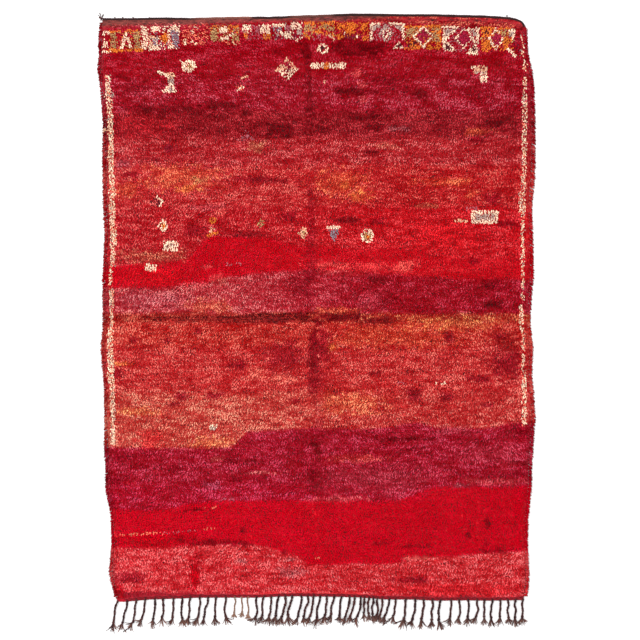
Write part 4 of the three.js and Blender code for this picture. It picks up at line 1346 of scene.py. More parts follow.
@dataclass
class RugColours:
    """Which yarn is tied where: the bands, the worn patches, the border and the small figures, with painted
    shade in the creases and at the rims of the pile.

    Sizes are in squares of the chart, across and along. A light is a base and what a light yarn adds to it.
    """

    outline: RugOutline
    turn_start: float = 200.0
    turn_length: float = 220.0
    drift: float = 5.0
    drift_size: Pair = (14.0, 9.0)
    ragged_size: Pair = (3.6, 1.9)
    ragged: float = 1.1
    cloud_size: Pair = (11.0, 6.0)
    streak_size: Pair = (9.0, 1.7)
    weights: RGB = (0.6, 0.8, 0.85)
    patch_light: Pair = (0.72, 0.56)
    patch_margin: Pair = (1.0, 0.8)
    patch_reach: float = 1.10
    patch_soft: float = 0.6
    figure_light: Pair = (0.84, 0.20)
    astray: float = 0.25
    # Painted shade at the rims: how dark the locks there are made, on the left half and on the right, and
    # how far in the shade fades out, in metres.
    rim_painted_shade: Pair = (0.70, 0.80)
    rim_zone: float = 0.034
    # Painted shade: how light the ground's yarn is within its tone, darker than the middle of the pile.
    bed_share_in_painted_shade: float = 0.35
    back_share: float = 0.9
    back_lift: float = 18.0

    def __post_init__(self) -> None:
        """Prepares the seeded noises."""
        self.wobble = SmoothNoise(SEED + 10)
        self.cloud = SmoothNoise(SEED + 11)
        self.streak = SmoothNoise(SEED + 12)

    def bands(self, spots: Spots) -> Array:
        """Blends the bands of the ground.

        Args:
            spots: places on the chart.

        Returns:
            Display colours, one row each.
        """
        column, row = spots.column, spots.row
        colour = np.zeros((len(column), 3))
        right = smooth((column - self.turn_start) / self.turn_length)[:, None]
        drift = self.drift * (self.wobble.at(column, row, *self.drift_size) - 0.5)
        for band in BANDS:
            line = np.interp(column, *zip(*band.start))
            inside = smooth((row + drift * min(1.0, band.soft / 6.0) - line) / band.soft + 0.5)[:, None]
            calm = (0.5 + (spots.share - 0.5) * band.mottle)[:, None]
            low = np.clip(2.0 * calm, 0.0, 1.0)
            high = np.clip(2.0 * calm - 1.0, 0.0, 1.0)
            tones = []
            for tone in (band.left, band.right):
                dark = mix(np.array(tone.dark), np.array(tone.middle), low)
                tones.append(mix(dark, np.array(tone.light), high))
            colour = mix(colour, mix(*tones, right), inside)
        return colour

    def is_figured(self, x: Array, y: Array) -> Array:
        """Finds the border, the stripes and the small figures.

        Args:
            x: places across, in metres.
            y: places along.

        Returns:
            Whether one of them is at each place, or close by.
        """
        column, row = charted(x, y)
        found = (row < 58.0) | (column < 119.0) | (column > 516.0)
        for figure in MOTIFS:
            for across, down in ((0.0, 0.0), (-2.5, 0.0), (2.5, 0.0), (0.0, -2.5), (0.0, 2.5)):
                found |= figure.covers(column + across, row + down)
        return found

    def creased(self, x: Array, y: Array) -> Array:
        """Where the fold across the middle has laid the rows of knots open, from 0 to 1."""
        column, row = charted(x, y)
        folded = smooth((4.6 - np.abs(row - 317.8)) / 2.0)
        return folded * smooth((column - 138.0) / 12.0) * smooth((313.0 - column) / 6.0)

    def lit(self, x: Array, y: Array) -> Spots:
        """Decides how light each knot's yarn is: by cloud, by row and by chance.

        Args:
            x: places across, in metres.
            y: places along.

        Returns:
            The places on the chart.
        """
        column, row = charted(x, y)
        chance = np.random.default_rng(SEED + 13).random(len(column))
        cloud = self.cloud.at(column, row, *self.cloud_size)
        streak = self.streak.at(column, row, *self.streak_size)
        by_cloud, by_row, by_chance = self.weights
        share = 0.5 + by_cloud * (cloud - 0.5) + by_row * (streak - 0.5) + by_chance * (chance - 0.5)
        return Spots(column, row, np.clip(share, 0.0, 1.0))

    def pile(self, x: Array, y: Array) -> Array:
        """The dye of each lock, with painted shade near the rims.

        Args:
            x: where its tip is seen, across, in metres.
            y: the same, along.

        Returns:
            Linear colours, one row each.
        """
        spots = self.lit(x, y)
        colour = self.worn(self.bands(spots), spots)
        # Painted shade: the locks near the rims are dyed darker, more on the left half.
        rim = np.minimum(x - self.outline.calm(-1, y), self.outline.calm(1, y) - x)
        shaded = np.where(spots.column < 300.0, *self.rim_painted_shade)
        colour *= mix(shaded, 1.0, smooth(rim / self.rim_zone))[:, None]
        return self.figured(linear(colour, PILE_GAIN, PILE_DEPTH), spots)

    def worn(self, colour: Array, spots: Spots) -> Array:
        """Lays the soft patches over the bands: worn, faded and darker places, and painted shade in the
        creases of the pile.

        Args:
            colour: the ground colour.
            spots: its places on the chart.

        Returns:
            The colour with its patches.
        """
        column, row = spots.column, spots.row
        ragged = self.wobble.at(column, row, *self.ragged_size) - 0.5
        strength = self.patch_light[0] + self.patch_light[1] * spots.share[:, None]
        casts = ((tint, Patch(*edges)) for tint, places in PATCHES for edges in places)
        for tint, patch in casts:
            wide, high = 0.5 * (patch.right - patch.left), 0.5 * (patch.lower - patch.upper)
            across = np.abs(column - patch.left - wide) / (wide + self.patch_margin[0])
            down = np.abs(row - patch.upper - high) / (high + self.patch_margin[1])
            far = (across ** 3 + down ** 3) ** (1.0 / 3.0)
            inside = smooth((self.patch_reach - far + self.ragged * ragged) / self.patch_soft)
            colour = mix(colour, np.array(tint.value) * strength, inside[:, None] * patch.strength)
        return colour

    def figured(self, colour: Array, spots: Spots) -> Array:
        """Knots the border, the stripes and the small figures.

        Args:
            colour: the dye of the ground, with its patches and its painted shade at the rims.
            spots: its places on the chart.

        Returns:
            The dye with every figure in it.
        """
        chance = np.random.default_rng(SEED + 14)
        count = len(spots.column)
        column = spots.column + chance.normal(0.0, self.astray, count)
        row = spots.row + chance.normal(0.0, self.astray, count)
        shade = self.figure_light[0] + self.figure_light[1] * spots.share[:, None]
        dyes = {yarn: linear(np.array(yarn.value) * shade, FIGURE_GAIN) for yarn in Yarn}
        for figure in (*BORDER, *MOTIFS):
            tied = figure.covers(column, row) & (chance.random(count) < figure.fill)
            colour[tied] = dyes[figure.yarn][tied]
        for stripe, full in ((LEFT_STRIPE, 1.0), (RIGHT_STRIPE, 0.8)):
            for upper, lower, left, right in stripe:
                inside = (row > upper) & (row < lower) & (column > left) & (column < right)
                pick = chance.random(count) / full
                for yarn, most in STRIPE_YARNS:
                    tied = inside & (pick < most)
                    colour[tied] = dyes[yarn][tied]
        return colour

    def ground(self, x: Array, y: Array) -> Array:
        """The dye of the woven ground where it is seen from above: under the pile, the pile's dye darkened
        as painted shade between the locks; at the bare upper end, its own colour.

        Args:
            x: places across, in metres.
            y: places along.

        Returns:
            Linear colours, one row each.
        """
        column, row = charted(x, y)
        spots = Spots(column, row, np.full(len(x), self.bed_share_in_painted_shade))
        # Painted shade: under the pile the ground takes the pile's dye, a darker yarn of its tone and
        # dimmed, for the shade between the locks.
        packed = linear(self.worn(self.bands(spots), spots), PILE_GAIN, PILE_DEPTH) * BED_PAINTED_SHADE
        places, dyes = zip(*END_BAND)
        band = np.stack([np.interp(column, places, channel) for channel in zip(*dyes)], axis=1)
        bare = smooth((np.interp(column, *zip(*BARE_LINE)) - row) / 2.0 + 0.5)[:, None]
        return mix(packed, linear(band, GROUND_GAIN), bare)

    def underside(self, x: Array, y: Array) -> Array:
        """The dye of the knots as the back shows them, a little paler, in linear colour."""
        return linear(self.back_share * self.bands(self.lit(x, y)) + self.back_lift, GROUND_GAIN)


@dataclass
class Foundation:
    """The woven sheet that the knots are tied to, bare at both ends of the rug."""

    outline: RugOutline
    colours: RugColours
    ripple: float = 0.5 * MM
    ripple_size: Pair = (0.05, 0.03)
    overhang: float = 5.0 * MM
    bare_overhang: float = 0.6 * MM
    bare_from: float = 50.0 * MM
    bare_fade: float = 20.0 * MM
    columns: int = 100
    rows: int = 136
    flat: Pair = (1.886, 2.592)
    crisp: float = 50.0

    def build(self) -> Piece:
        """Weaves the sheet as one closed mesh, with its own dye at each point.

        Returns:
            The piece.
        """
        u, v = np.meshgrid(np.linspace(0.0, 1.0, self.columns), np.linspace(0.0, 1.0, self.rows))
        x, y = self.outline.place(u.ravel(), v.ravel())
        bare = smooth((y - self.outline.upper(x) + self.bare_from) / self.bare_fade)
        tuck = mix(self.overhang, self.bare_overhang, bare)
        x = np.clip(x, self.outline.calm(-1, y) + tuck, self.outline.calm(1, y) - tuck)
        noise = SmoothNoise(SEED).at(x, y, *self.ripple_size)
        top = self.outline.bed(x, y) + self.ripple * (2.0 * noise - 1.0)
        upper = np.stack([x, y, top], axis=1)
        under = np.stack([x, y, np.zeros(len(x))], axis=1)
        count = len(x)
        corner = (np.arange(self.rows - 1)[:, None] * self.columns + np.arange(self.columns - 1)).ravel()
        faces = corner[:, None] + np.array((0, 1, self.columns + 1, self.columns))
        rim = np.concatenate([
            np.arange(self.columns),
            self.columns * np.arange(1, self.rows) + self.columns - 1,
            count - 2 - np.arange(self.columns - 1),
            self.columns * np.arange(self.rows - 2, 0, -1),
        ])
        after = np.roll(rim, -1)
        walls = np.stack([rim, rim + count, after + count, after], axis=1)
        mesh = bpy.data.meshes.new("woven_ground")
        mesh.from_pydata(
            np.vstack([upper, under]).tolist(),
            [],
            np.vstack([faces, faces[:, ::-1] + count, walls[:, ::-1]]).tolist(),
        )
        dyes = np.vstack([self.colours.ground(x, y), self.colours.underside(x, y)])
        write_attribute(mesh, YARN, "FLOAT_COLOR", dyes)
        mesh.shade_smooth()
        mesh.set_sharp_from_angle(angle=math.radians(self.crisp))
        return add_piece("woven_ground", mesh)

    def dress(self, piece: Piece, with_pieces: Sequence[Piece]) -> None:
        """Args:
            piece: the sheet.
            with_pieces: the pile and the trimmings that go with it; not used.
        """
        piece.data.materials.append(WovenGround("woven_ground").material())
        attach(piece, "root")
        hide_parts("rug_body")


# How far the locks stand out past each rim, in millimetres, from the lower end of the rug to the upper.
LEFT_TUFTS = (
    (-1.24, 10), (-1.11, 11), (-0.97, 11), (-0.84, 5), (-0.70, 5), (-0.57, 16), (-0.44, 8), (-0.30, 2),
    (-0.17, 6), (-0.04, 5), (0.10, 7), (0.23, 8), (0.36, 13), (0.50, 15), (0.76, 17), (0.90, 9), (1.03, 7),
    (1.16, 10), (1.30, 14),
)
RIGHT_TUFTS = (
    (-1.24, 12), (-1.11, 14), (-0.97, 8), (-0.84, 12), (-0.70, 15), (-0.57, 15), (-0.44, 12), (-0.30, 16),
    (-0.17, 11), (-0.04, 10), (0.10, 10), (0.23, 15), (0.36, 12), (0.50, 12), (0.63, 17), (0.76, 14),
    (0.90, 14), (1.03, 13), (1.16, 9), (1.30, 15),
)


@dataclass
class Pile:
    """The shaggy pile: rows of knotted locks, leaning down the rug and out over its rims.

    A pair is a range, or a value for the lower part and one for the upper end, or for coarse and fine knots.
    """

    outline: RugOutline
    colours: RugColours
    strips: int = 6
    coarse: Pair = (7.3 * MM, 5.5 * MM)
    fine: Pair = (6.6 * MM, 4.0 * MM)
    field: float = 1.88
    jitter: float = 0.36
    reach: Pair = (12.5 * MM, 19.0 * MM)
    fine_reach: float = 0.9
    creased_reach: float = 0.55
    shortest: float = 5.0 * MM
    width: Pair = (5.0 * MM, 7.2 * MM)
    knot_width: Pair = (0.72, 0.80)
    rim_width: float = 1.45
    sunk: float = 1.0 * MM
    lowest_tip: float = 2.2 * MM
    tips: Pair = (-4.2, 0.8)
    shallow: float = 3.5 * MM
    full_height: float = 1.02
    inset: float = 7.0 * MM
    seam: float = 3.0 * MM
    hem: float = 5.0 * MM
    bare_end: Points = (
        (-0.95, 0.027), (-0.56, 0.024), (-0.30, 0.018), (0.20, 0.020), (0.35, 0.006), (0.92, 0.003),
    )
    rising: float = 15.0 * MM
    rising_bare: float = 9.0 * MM
    rising_reach: Pair = (0.7, 1.05)
    rim_zone: float = 26.0 * MM
    rim_pull: float = 1.6
    rim_reach: Pair = (6.0 * MM, 30.0 * MM)
    rim_chance: Pair = (0.8, 1.6)
    rim_tilt: float = 0.35
    tilt: float = 0.10
    roll: float = 0.28
    top_swirl: float = 0.75
    top_start: float = 0.55
    top_length: float = 0.75
    parting: float = 0.25
    swirl_size: Pair = (0.09, 0.06)
    swirl: Pair = (1.6, 0.7)
    stray: Pair = (0.36, 0.15)
    seen: float = 0.68

    def lattice(self, pitch: Pair, seed: int) -> tuple[Array, Array]:
        """Sets out knots row by row, each a little off its place.

        Args:
            pitch: the distance between rows and between knots.
            seed: the fixed start of the random numbers.

        Returns:
            The places across and along.
        """
        chance = np.random.default_rng(seed)
        length = float(np.mean(self.outline.upper_rim[:, 1]) - np.mean(self.outline.lower_rim[:, 1]))
        rows, count = int(length / pitch[0]), int(self.field / pitch[1])
        row, knot = np.meshgrid(np.arange(rows), np.arange(count), indexing="ij")
        off = self.jitter
        u = (knot + 0.25 + 0.5 * (row % 2) + chance.uniform(-off, off, row.shape)) / count
        v = (row + 0.5 + chance.uniform(-off, off, row.shape)) / rows
        return self.outline.place(np.clip(u.ravel(), 0.003, 0.997), v.ravel())

    def roots(self) -> tuple[Array, Array, Array]:
        """Ties fine knots where there are figures and coarser ones elsewhere.

        Returns:
            The places across and along, and 1 where the knots are fine.
        """
        wide_x, wide_y = self.lattice(self.coarse, SEED + 1)
        fine_x, fine_y = self.lattice(self.fine, SEED + 4)
        plain = ~self.colours.is_figured(wide_x, wide_y)
        figured = self.colours.is_figured(fine_x, fine_y)
        x = np.concatenate([wide_x[plain], fine_x[figured]])
        y = np.concatenate([wide_y[plain], fine_y[figured]])
        return x, y, np.concatenate([np.zeros(plain.sum()), np.ones(figured.sum())])

    def lay(self) -> dict[str, Array]:
        """Decides how each lock lies.

        Returns:
            Its root, and its attributes by name.
        """
        chance = np.random.default_rng(SEED + 2)
        rug = self.outline
        x, y, fine = self.roots()
        x = np.clip(x, rug.calm(-1, y) + self.inset, rug.calm(1, y) - self.inset)
        below = rug.upper(x) - y
        bare = np.interp(x, *zip(*self.bare_end))
        thinned = chance.random(len(x)) < smooth((below - 0.25 * bare) / (0.75 * bare))
        keep = (below > self.seam) & thinned & (y > rug.lower(x) + self.hem)
        x, y, fine, below, bare = (values[keep] for values in (x, y, fine, below, bare))
        count = len(x)
        top = smooth((y - self.top_start) / self.top_length)
        swirl = -np.tanh(x / self.parting) * self.top_swirl * top
        swirl += (SmoothNoise(SEED + 3).at(x, y, *self.swirl_size) - 0.5) * mix(*self.swirl, top)
        swirl += chance.normal(0.0, 1.0, count) * mix(*self.stray, top)
        down = swirl - math.pi / 2.0
        left = smooth(1.0 - (x - rug.calm(-1, y)) / self.rim_zone)
        right = smooth(1.0 - (rug.calm(1, y) - x) / self.rim_zone)
        rim = np.maximum(left, right)
        across = np.cos(down) * (1.0 - left - right) + self.rim_pull * (right - left)
        heading = np.arctan2(np.sin(down) * (1.0 - 0.5 * (left + right)), across)
        reach = chance.uniform(*self.reach, count) * mix(1.0, self.fine_reach, fine)
        reach *= mix(1.0, self.creased_reach, self.colours.creased(x, y))
        tip_y = y + reach * np.sin(heading)
        room = np.where(left > right, x - rug.left(tip_y), rug.right(tip_y) - x)
        room = room / np.maximum(np.abs(np.cos(heading)), 0.3)
        past_left, past_right = (np.interp(y, *zip(*line)) * MM for line in (LEFT_TUFTS, RIGHT_TUFTS))
        past = np.where(x < 0.0, past_left, past_right)
        to_rim = np.clip(room, *self.rim_reach) * chance.uniform(*self.rim_chance, count) + past
        reach = np.where(rim > 0.5, to_rim, np.minimum(reach, np.maximum(room, self.rim_reach[0])))
        to_hem = (y - rug.lower(x) - 0.6 * self.hem) / np.maximum(-np.sin(heading), 0.2)
        reach = np.clip(reach, self.shortest, np.maximum(to_hem, self.shortest))
        rising = (below < self.rising) & (bare < self.rising_bare) & (rim < 0.5)
        heading = np.where(rising, math.pi / 2.0 + swirl, heading)
        reach = np.where(rising, below * chance.uniform(*self.rising_reach, count), reach)
        seen_x = x + self.seen * reach * np.cos(heading)
        seen_y = y + self.seen * reach * np.sin(heading)
        height = np.maximum(rug.height(seen_x, seen_y), rug.height(x, y) * 0.8)
        height = height + chance.uniform(*self.tips, count) * MM
        root = rug.bed(x, y) - self.sunk
        tall = np.maximum(height - root, self.shallow) / self.full_height
        steepest = np.arcsin(np.clip((root + 0.78 * tall - self.lowest_tip) / reach, 0.0, 1.0))
        tilt = np.minimum(chance.normal(0.0, self.tilt, count) + self.rim_tilt * rim, steepest)
        roll = chance.normal(0.0, self.roll, count)
        width = chance.uniform(*self.width, count) * mix(*self.knot_width, fine)
        width *= mix(1.0, self.rim_width, rim)
        return {
            "root": np.stack([x, y, root], axis=1),
            HEADING: np.stack([roll, tilt, heading], axis=1),
            MEASURE: np.stack([reach, width, tall], axis=1),
            VARIANT: chance.integers(0, 3, count).astype(np.int32),
            YARN: self.colours.pile(seen_x, seen_y),
        }

    def build(self, tree: GeometryTree, wool: Material) -> list[Piece]:
        """Grows the locks in strips along the rug.

        Args:
            tree: the lock tree.
            wool: the pile's material.

        Returns:
            One piece for each strip.
        """
        lay = self.lay()
        roots = lay["root"]
        order = np.argsort(roots[:, 1])
        shape = {"Arch": 1.8, "Tip height": 0.84, "Sweep": 0.5, "Wool": wool}
        pieces = []
        for number, chosen in enumerate(np.array_split(order, self.strips), 1):
            name = f"pile_strip_{number}"
            mesh = bpy.data.meshes.new(name)
            mesh.from_pydata(roots[chosen].tolist(), [], [])
            for attribute, kind in LOCK_ATTRIBUTES:
                write_attribute(mesh, attribute, kind, lay[attribute][chosen])
            piece = tree.grow(add_piece(name, mesh), shape)
            pieces.append(piece)
            LOG.info("%s: %d locks, %d triangles", name, len(chosen), count_triangles(piece))
        return pieces

    def dress(self, pieces: Sequence[Piece]) -> None:
        """Puts the strips on the rug."""
        for piece in pieces:
            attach(piece, "root")


def count_triangles(piece: Piece) -> int:
    """How many triangles a piece's mesh has."""
    return sum(len(face.vertices) - 2 for face in piece.data.polygons)


# The plait's dyes, and how faded and how stout it is from left to right.
CORD_DYES = ((14, 8, 6), (26, 15, 11), (10, 6, 6))
FADED_CORD = (110, 66, 56)
CORD_FADE = (
    (-0.58, 0.0), (-0.50, 0.55), (-0.30, 0.75), (-0.28, 0.0), (-0.13, 0.0), (-0.10, 0.35), (0.06, 0.3),
    (0.09, 0.0),
)
CORD_STOUTNESS = (
    (-0.95, 0.95), (-0.60, 1.0), (-0.50, 0.8), (-0.29, 0.8), (-0.27, 1.1), (0.05, 1.0), (0.12, 1.25),
    (0.25, 1.25), (0.40, 1.0), (0.60, 1.15), (0.80, 1.2), (0.95, 0.9),
)
# Where ends fray out of the plait, by column and row of the chart, and how far.
CORD_FRAYS = (
    (114.5, 18.4, 9.0 * MM), (122.5, 18.4, 8.0 * MM), (133.0, 18.4, 9.5 * MM), (149.5, 18.0, 6.0 * MM),
    (507.0, 16.6, 9.0 * MM),
)


@dataclass
class PlaitedCord:
    """The dark three-strand plait that finishes the upper end and turns the right corner."""

    outline: RugOutline
    start: float = -950.7 * MM
    end_along: float = 1312.8 * MM
    aside: float = 4.82 * MM
    corner_gap: float = 2.0 * MM
    lay_length: float = 34.0 * MM
    swing: float = 2.6 * MM
    lift: float = 0.9 * MM
    strand: float = 2.9 * MM
    step: float = 3.4 * MM
    uneven: float = 0.12
    uneven_turn: float = 90.0
    fray_fibres: int = 3
    fray_lean: float = 0.9
    fray_height: float = 2.6 * MM
    fray_rise: float = 0.8 * MM

    def middle(self) -> Array:
        """The line that the plait follows, a little outside the cloth.

        Returns:
            Its points, in even steps.
        """
        first = float(self.outline.upper(self.start)) + self.aside
        side = [(x + self.aside, y) for x, y in self.outline.right_rim[::-1] if y > self.end_along]
        line = [
            (x, y + self.aside)
            for x, y in self.outline.upper_rim
            if self.start + 2.0 * self.corner_gap < x < side[0][0] - self.corner_gap
        ]
        last = float(self.outline.right(self.end_along)) + self.aside
        return resampled(np.array([(self.start, first), *line, *side, (last, self.end_along)]), self.step)

    def build(self, tree: GeometryTree, wool: Material) -> Piece:
        """Plaits three strands round the line and adds the frayed ends that stand up from it.

        Args:
            tree: the spun yarn tree.
            wool: the cord's material.

        Returns:
            The piece.
        """
        middle = self.middle()
        walked = np.concatenate([[0.0], np.cumsum(np.hypot(*np.diff(middle, axis=0).T))])
        aside = sideways(middle)[:, :2]
        faded = np.interp(middle[:, 0], *zip(*CORD_FADE))[:, None]
        strands = Strands()
        for number, dye in enumerate(CORD_DYES):
            turn = 2.0 * math.pi * (walked / self.lay_length + number / 3.0)
            flat = middle + aside * (self.swing * np.cos(turn))[:, None]
            stout = np.interp(middle[:, 0], *zip(*CORD_STOUTNESS))
            stout = stout * (1.0 + self.uneven * np.sin(walked * self.uneven_turn + number))
            high = self.strand * stout + self.lift * (1.0 + np.sin(2.0 * turn))
            colour = mix(linear(dye), linear(FADED_CORD), faded)
            strands.add(np.column_stack([flat, high]), self.strand * stout, colour)
        for number, (column, row, reach) in enumerate(CORD_FRAYS):
            for fibre in range(self.fray_fibres):
                lean = (scatter(number * self.fray_fibres + fibre, 41) - 0.5) * self.fray_lean
                share = np.linspace(0.0, 1.0, 5)[:, None]
                tip = np.array((lean * reach, reach, self.fray_rise))
                points = np.array((*from_chart(column, row), self.fray_height)) + share * tip
                strands.add(points, mix(1.7, 0.6, share[:, 0]) * MM, linear(CORD_DYES[fibre % 3]))
        return strands.piece("edge_plait", 6, tree, wool)

    def dress(self, piece: Piece) -> None:
        """Puts the plait on the rug in place of its solid."""
        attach(piece, "root")
        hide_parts("top_cord")


TASSEL_DYES = ((34, 22, 18), (66, 50, 42), (22, 15, 14))


@dataclass
class CornerTassel:
    """The yarn knot at the upper left corner. An end has its way across and along, and a fullness."""

    middle: Pair = (-956.5 * MM, 1348.4 * MM)
    head: float = 5.6 * MM
    wraps: float = 4.0
    wrap_radius: float = 1.5 * MM
    wrap_height: float = 4.6 * MM
    flattened: float = 0.72
    fibres: int = 7
    spread: float = 5.5 * MM
    end_heights: Pair = (4.4 * MM, 1.2 * MM)
    end_radii: Pair = (1.15, 0.4)
    ends: tuple[tuple[float, float, float], ...] = (
        (-9.0 * MM, 31.0 * MM, 1.1),
        (10.0 * MM, 23.0 * MM, 1.7),
        (-14.0 * MM, 9.0 * MM, 1.6),
        (-16.0 * MM, 20.0 * MM, 0.9),
        (-4.0 * MM, -12.0 * MM, 0.9),
    )

    def build(self, tree: GeometryTree, wool: Material) -> Piece:
        """Winds the knot and lets its ends fray.

        Args:
            tree: the spun yarn tree.
            wool: the tassel's material.

        Returns:
            The piece.
        """
        strands = Strands()
        turn = np.linspace(0.0, 2.0 * math.pi * self.wraps, 44)
        share = turn / turn[-1]
        radius = self.head * (0.35 + 0.45 * np.sin(math.pi * share))
        x = self.middle[0] + radius * np.cos(turn)
        y = self.middle[1] + mix(-0.7, 0.7, share) * self.head
        z = self.wrap_height + self.flattened * radius * np.sin(turn)
        strands.add(np.column_stack([x, y, z]), self.wrap_radius, linear(CORD_DYES[1]))
        way = np.linspace(0.0, 1.0, 7)
        for number, (across, along, fullness) in enumerate(self.ends):
            norm = math.hypot(across, along)
            for index in range(number * self.fibres, (number + 1) * self.fibres):
                length = 1.0 - 0.28 * scatter(index, 44)
                drift = (scatter(index, 43) - 0.5) * self.spread * fullness * way ** 1.5
                points = np.column_stack([
                    self.middle[0] + across * length * way + drift * along / norm,
                    self.middle[1] + along * length * way - drift * across / norm,
                    mix(*self.end_heights, smooth(way * 1.6)) + self.end_heights[1] * scatter(index, 45),
                ])
                thin = mix(*self.end_radii, way) * fullness ** 0.5 * MM
                strands.add(points, thin, linear(TASSEL_DYES[index % 3]))
        return strands.piece("corner_yarn", 5, tree, wool)

    def dress(self, piece: Piece) -> None:
        """Puts the tassel on the rug in place of its solid."""
        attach(piece, "root")
        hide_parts("corner_tassel")


@dataclass(frozen=True)
class FringeRun:
    """Strands of the fringe that hang alike: where they begin and end, in millimetres, and their build."""

    first: float
    last: float
    strands: int
    lean: float
    reach: float
    stout: float
    knots: int = 0


@dataclass(frozen=True)
class FringeStrand:
    """One strand: its number in the whole fringe, its run, its place in the run, and its dyes."""

    number: int
    run: FringeRun
    index: int
    dyes: Sequence[Array]


FRINGE_RUNS = (
    FringeRun(-883, -762, 4, -29, 130, 1.0),
    FringeRun(-720, -598, 4, -4, 120, 1.0, 1),
    FringeRun(-561, -481, 3, -20, 128, 1.0),
    FringeRun(-445, -404, 2, -7, 118, 1.0),
    FringeRun(-364, -303, 3, 1, 96, 0.7),
    FringeRun(-265, -198, 3, -13, 119, 1.0),
    FringeRun(-167, -110, 3, -22, 124, 1.1),
    FringeRun(-69, 18, 4, -24, 128, 1.05),
    FringeRun(48, 113, 3, -20, 112, 1.05),
    FringeRun(147, 197, 3, -22, 122, 1.0, 2),
    FringeRun(216, 292, 5, -8, 98, 0.95, 2),
    FringeRun(328, 355, 2, -26, 104, 1.0),
    FringeRun(400, 555, 5, -13, 121, 1.1),
    FringeRun(600, 674, 3, 0, 110, 1.0),
    FringeRun(714, 921, 7, -5, 106, 1.0),
)
FRINGE_DYES = ((24, 13, 12), (44, 25, 21), (17, 10, 10))
PALE_WARP = (150, 118, 96)
BRUSH_TIP = (150, 108, 92)
STRIP_DYES = ((96, 2, 14), (68, 2, 10), (112, 4, 18))
CORNER_RED = (134, 2, 20)
# The loose ends beside the brushes, from one point of the chart to another.
FRINGE_STRAYS = (
    ((130.6, 627), (122.6, 632.4)), ((391.5, 618), (382.5, 626)), ((401, 621), (393.5, 624.5)),
)


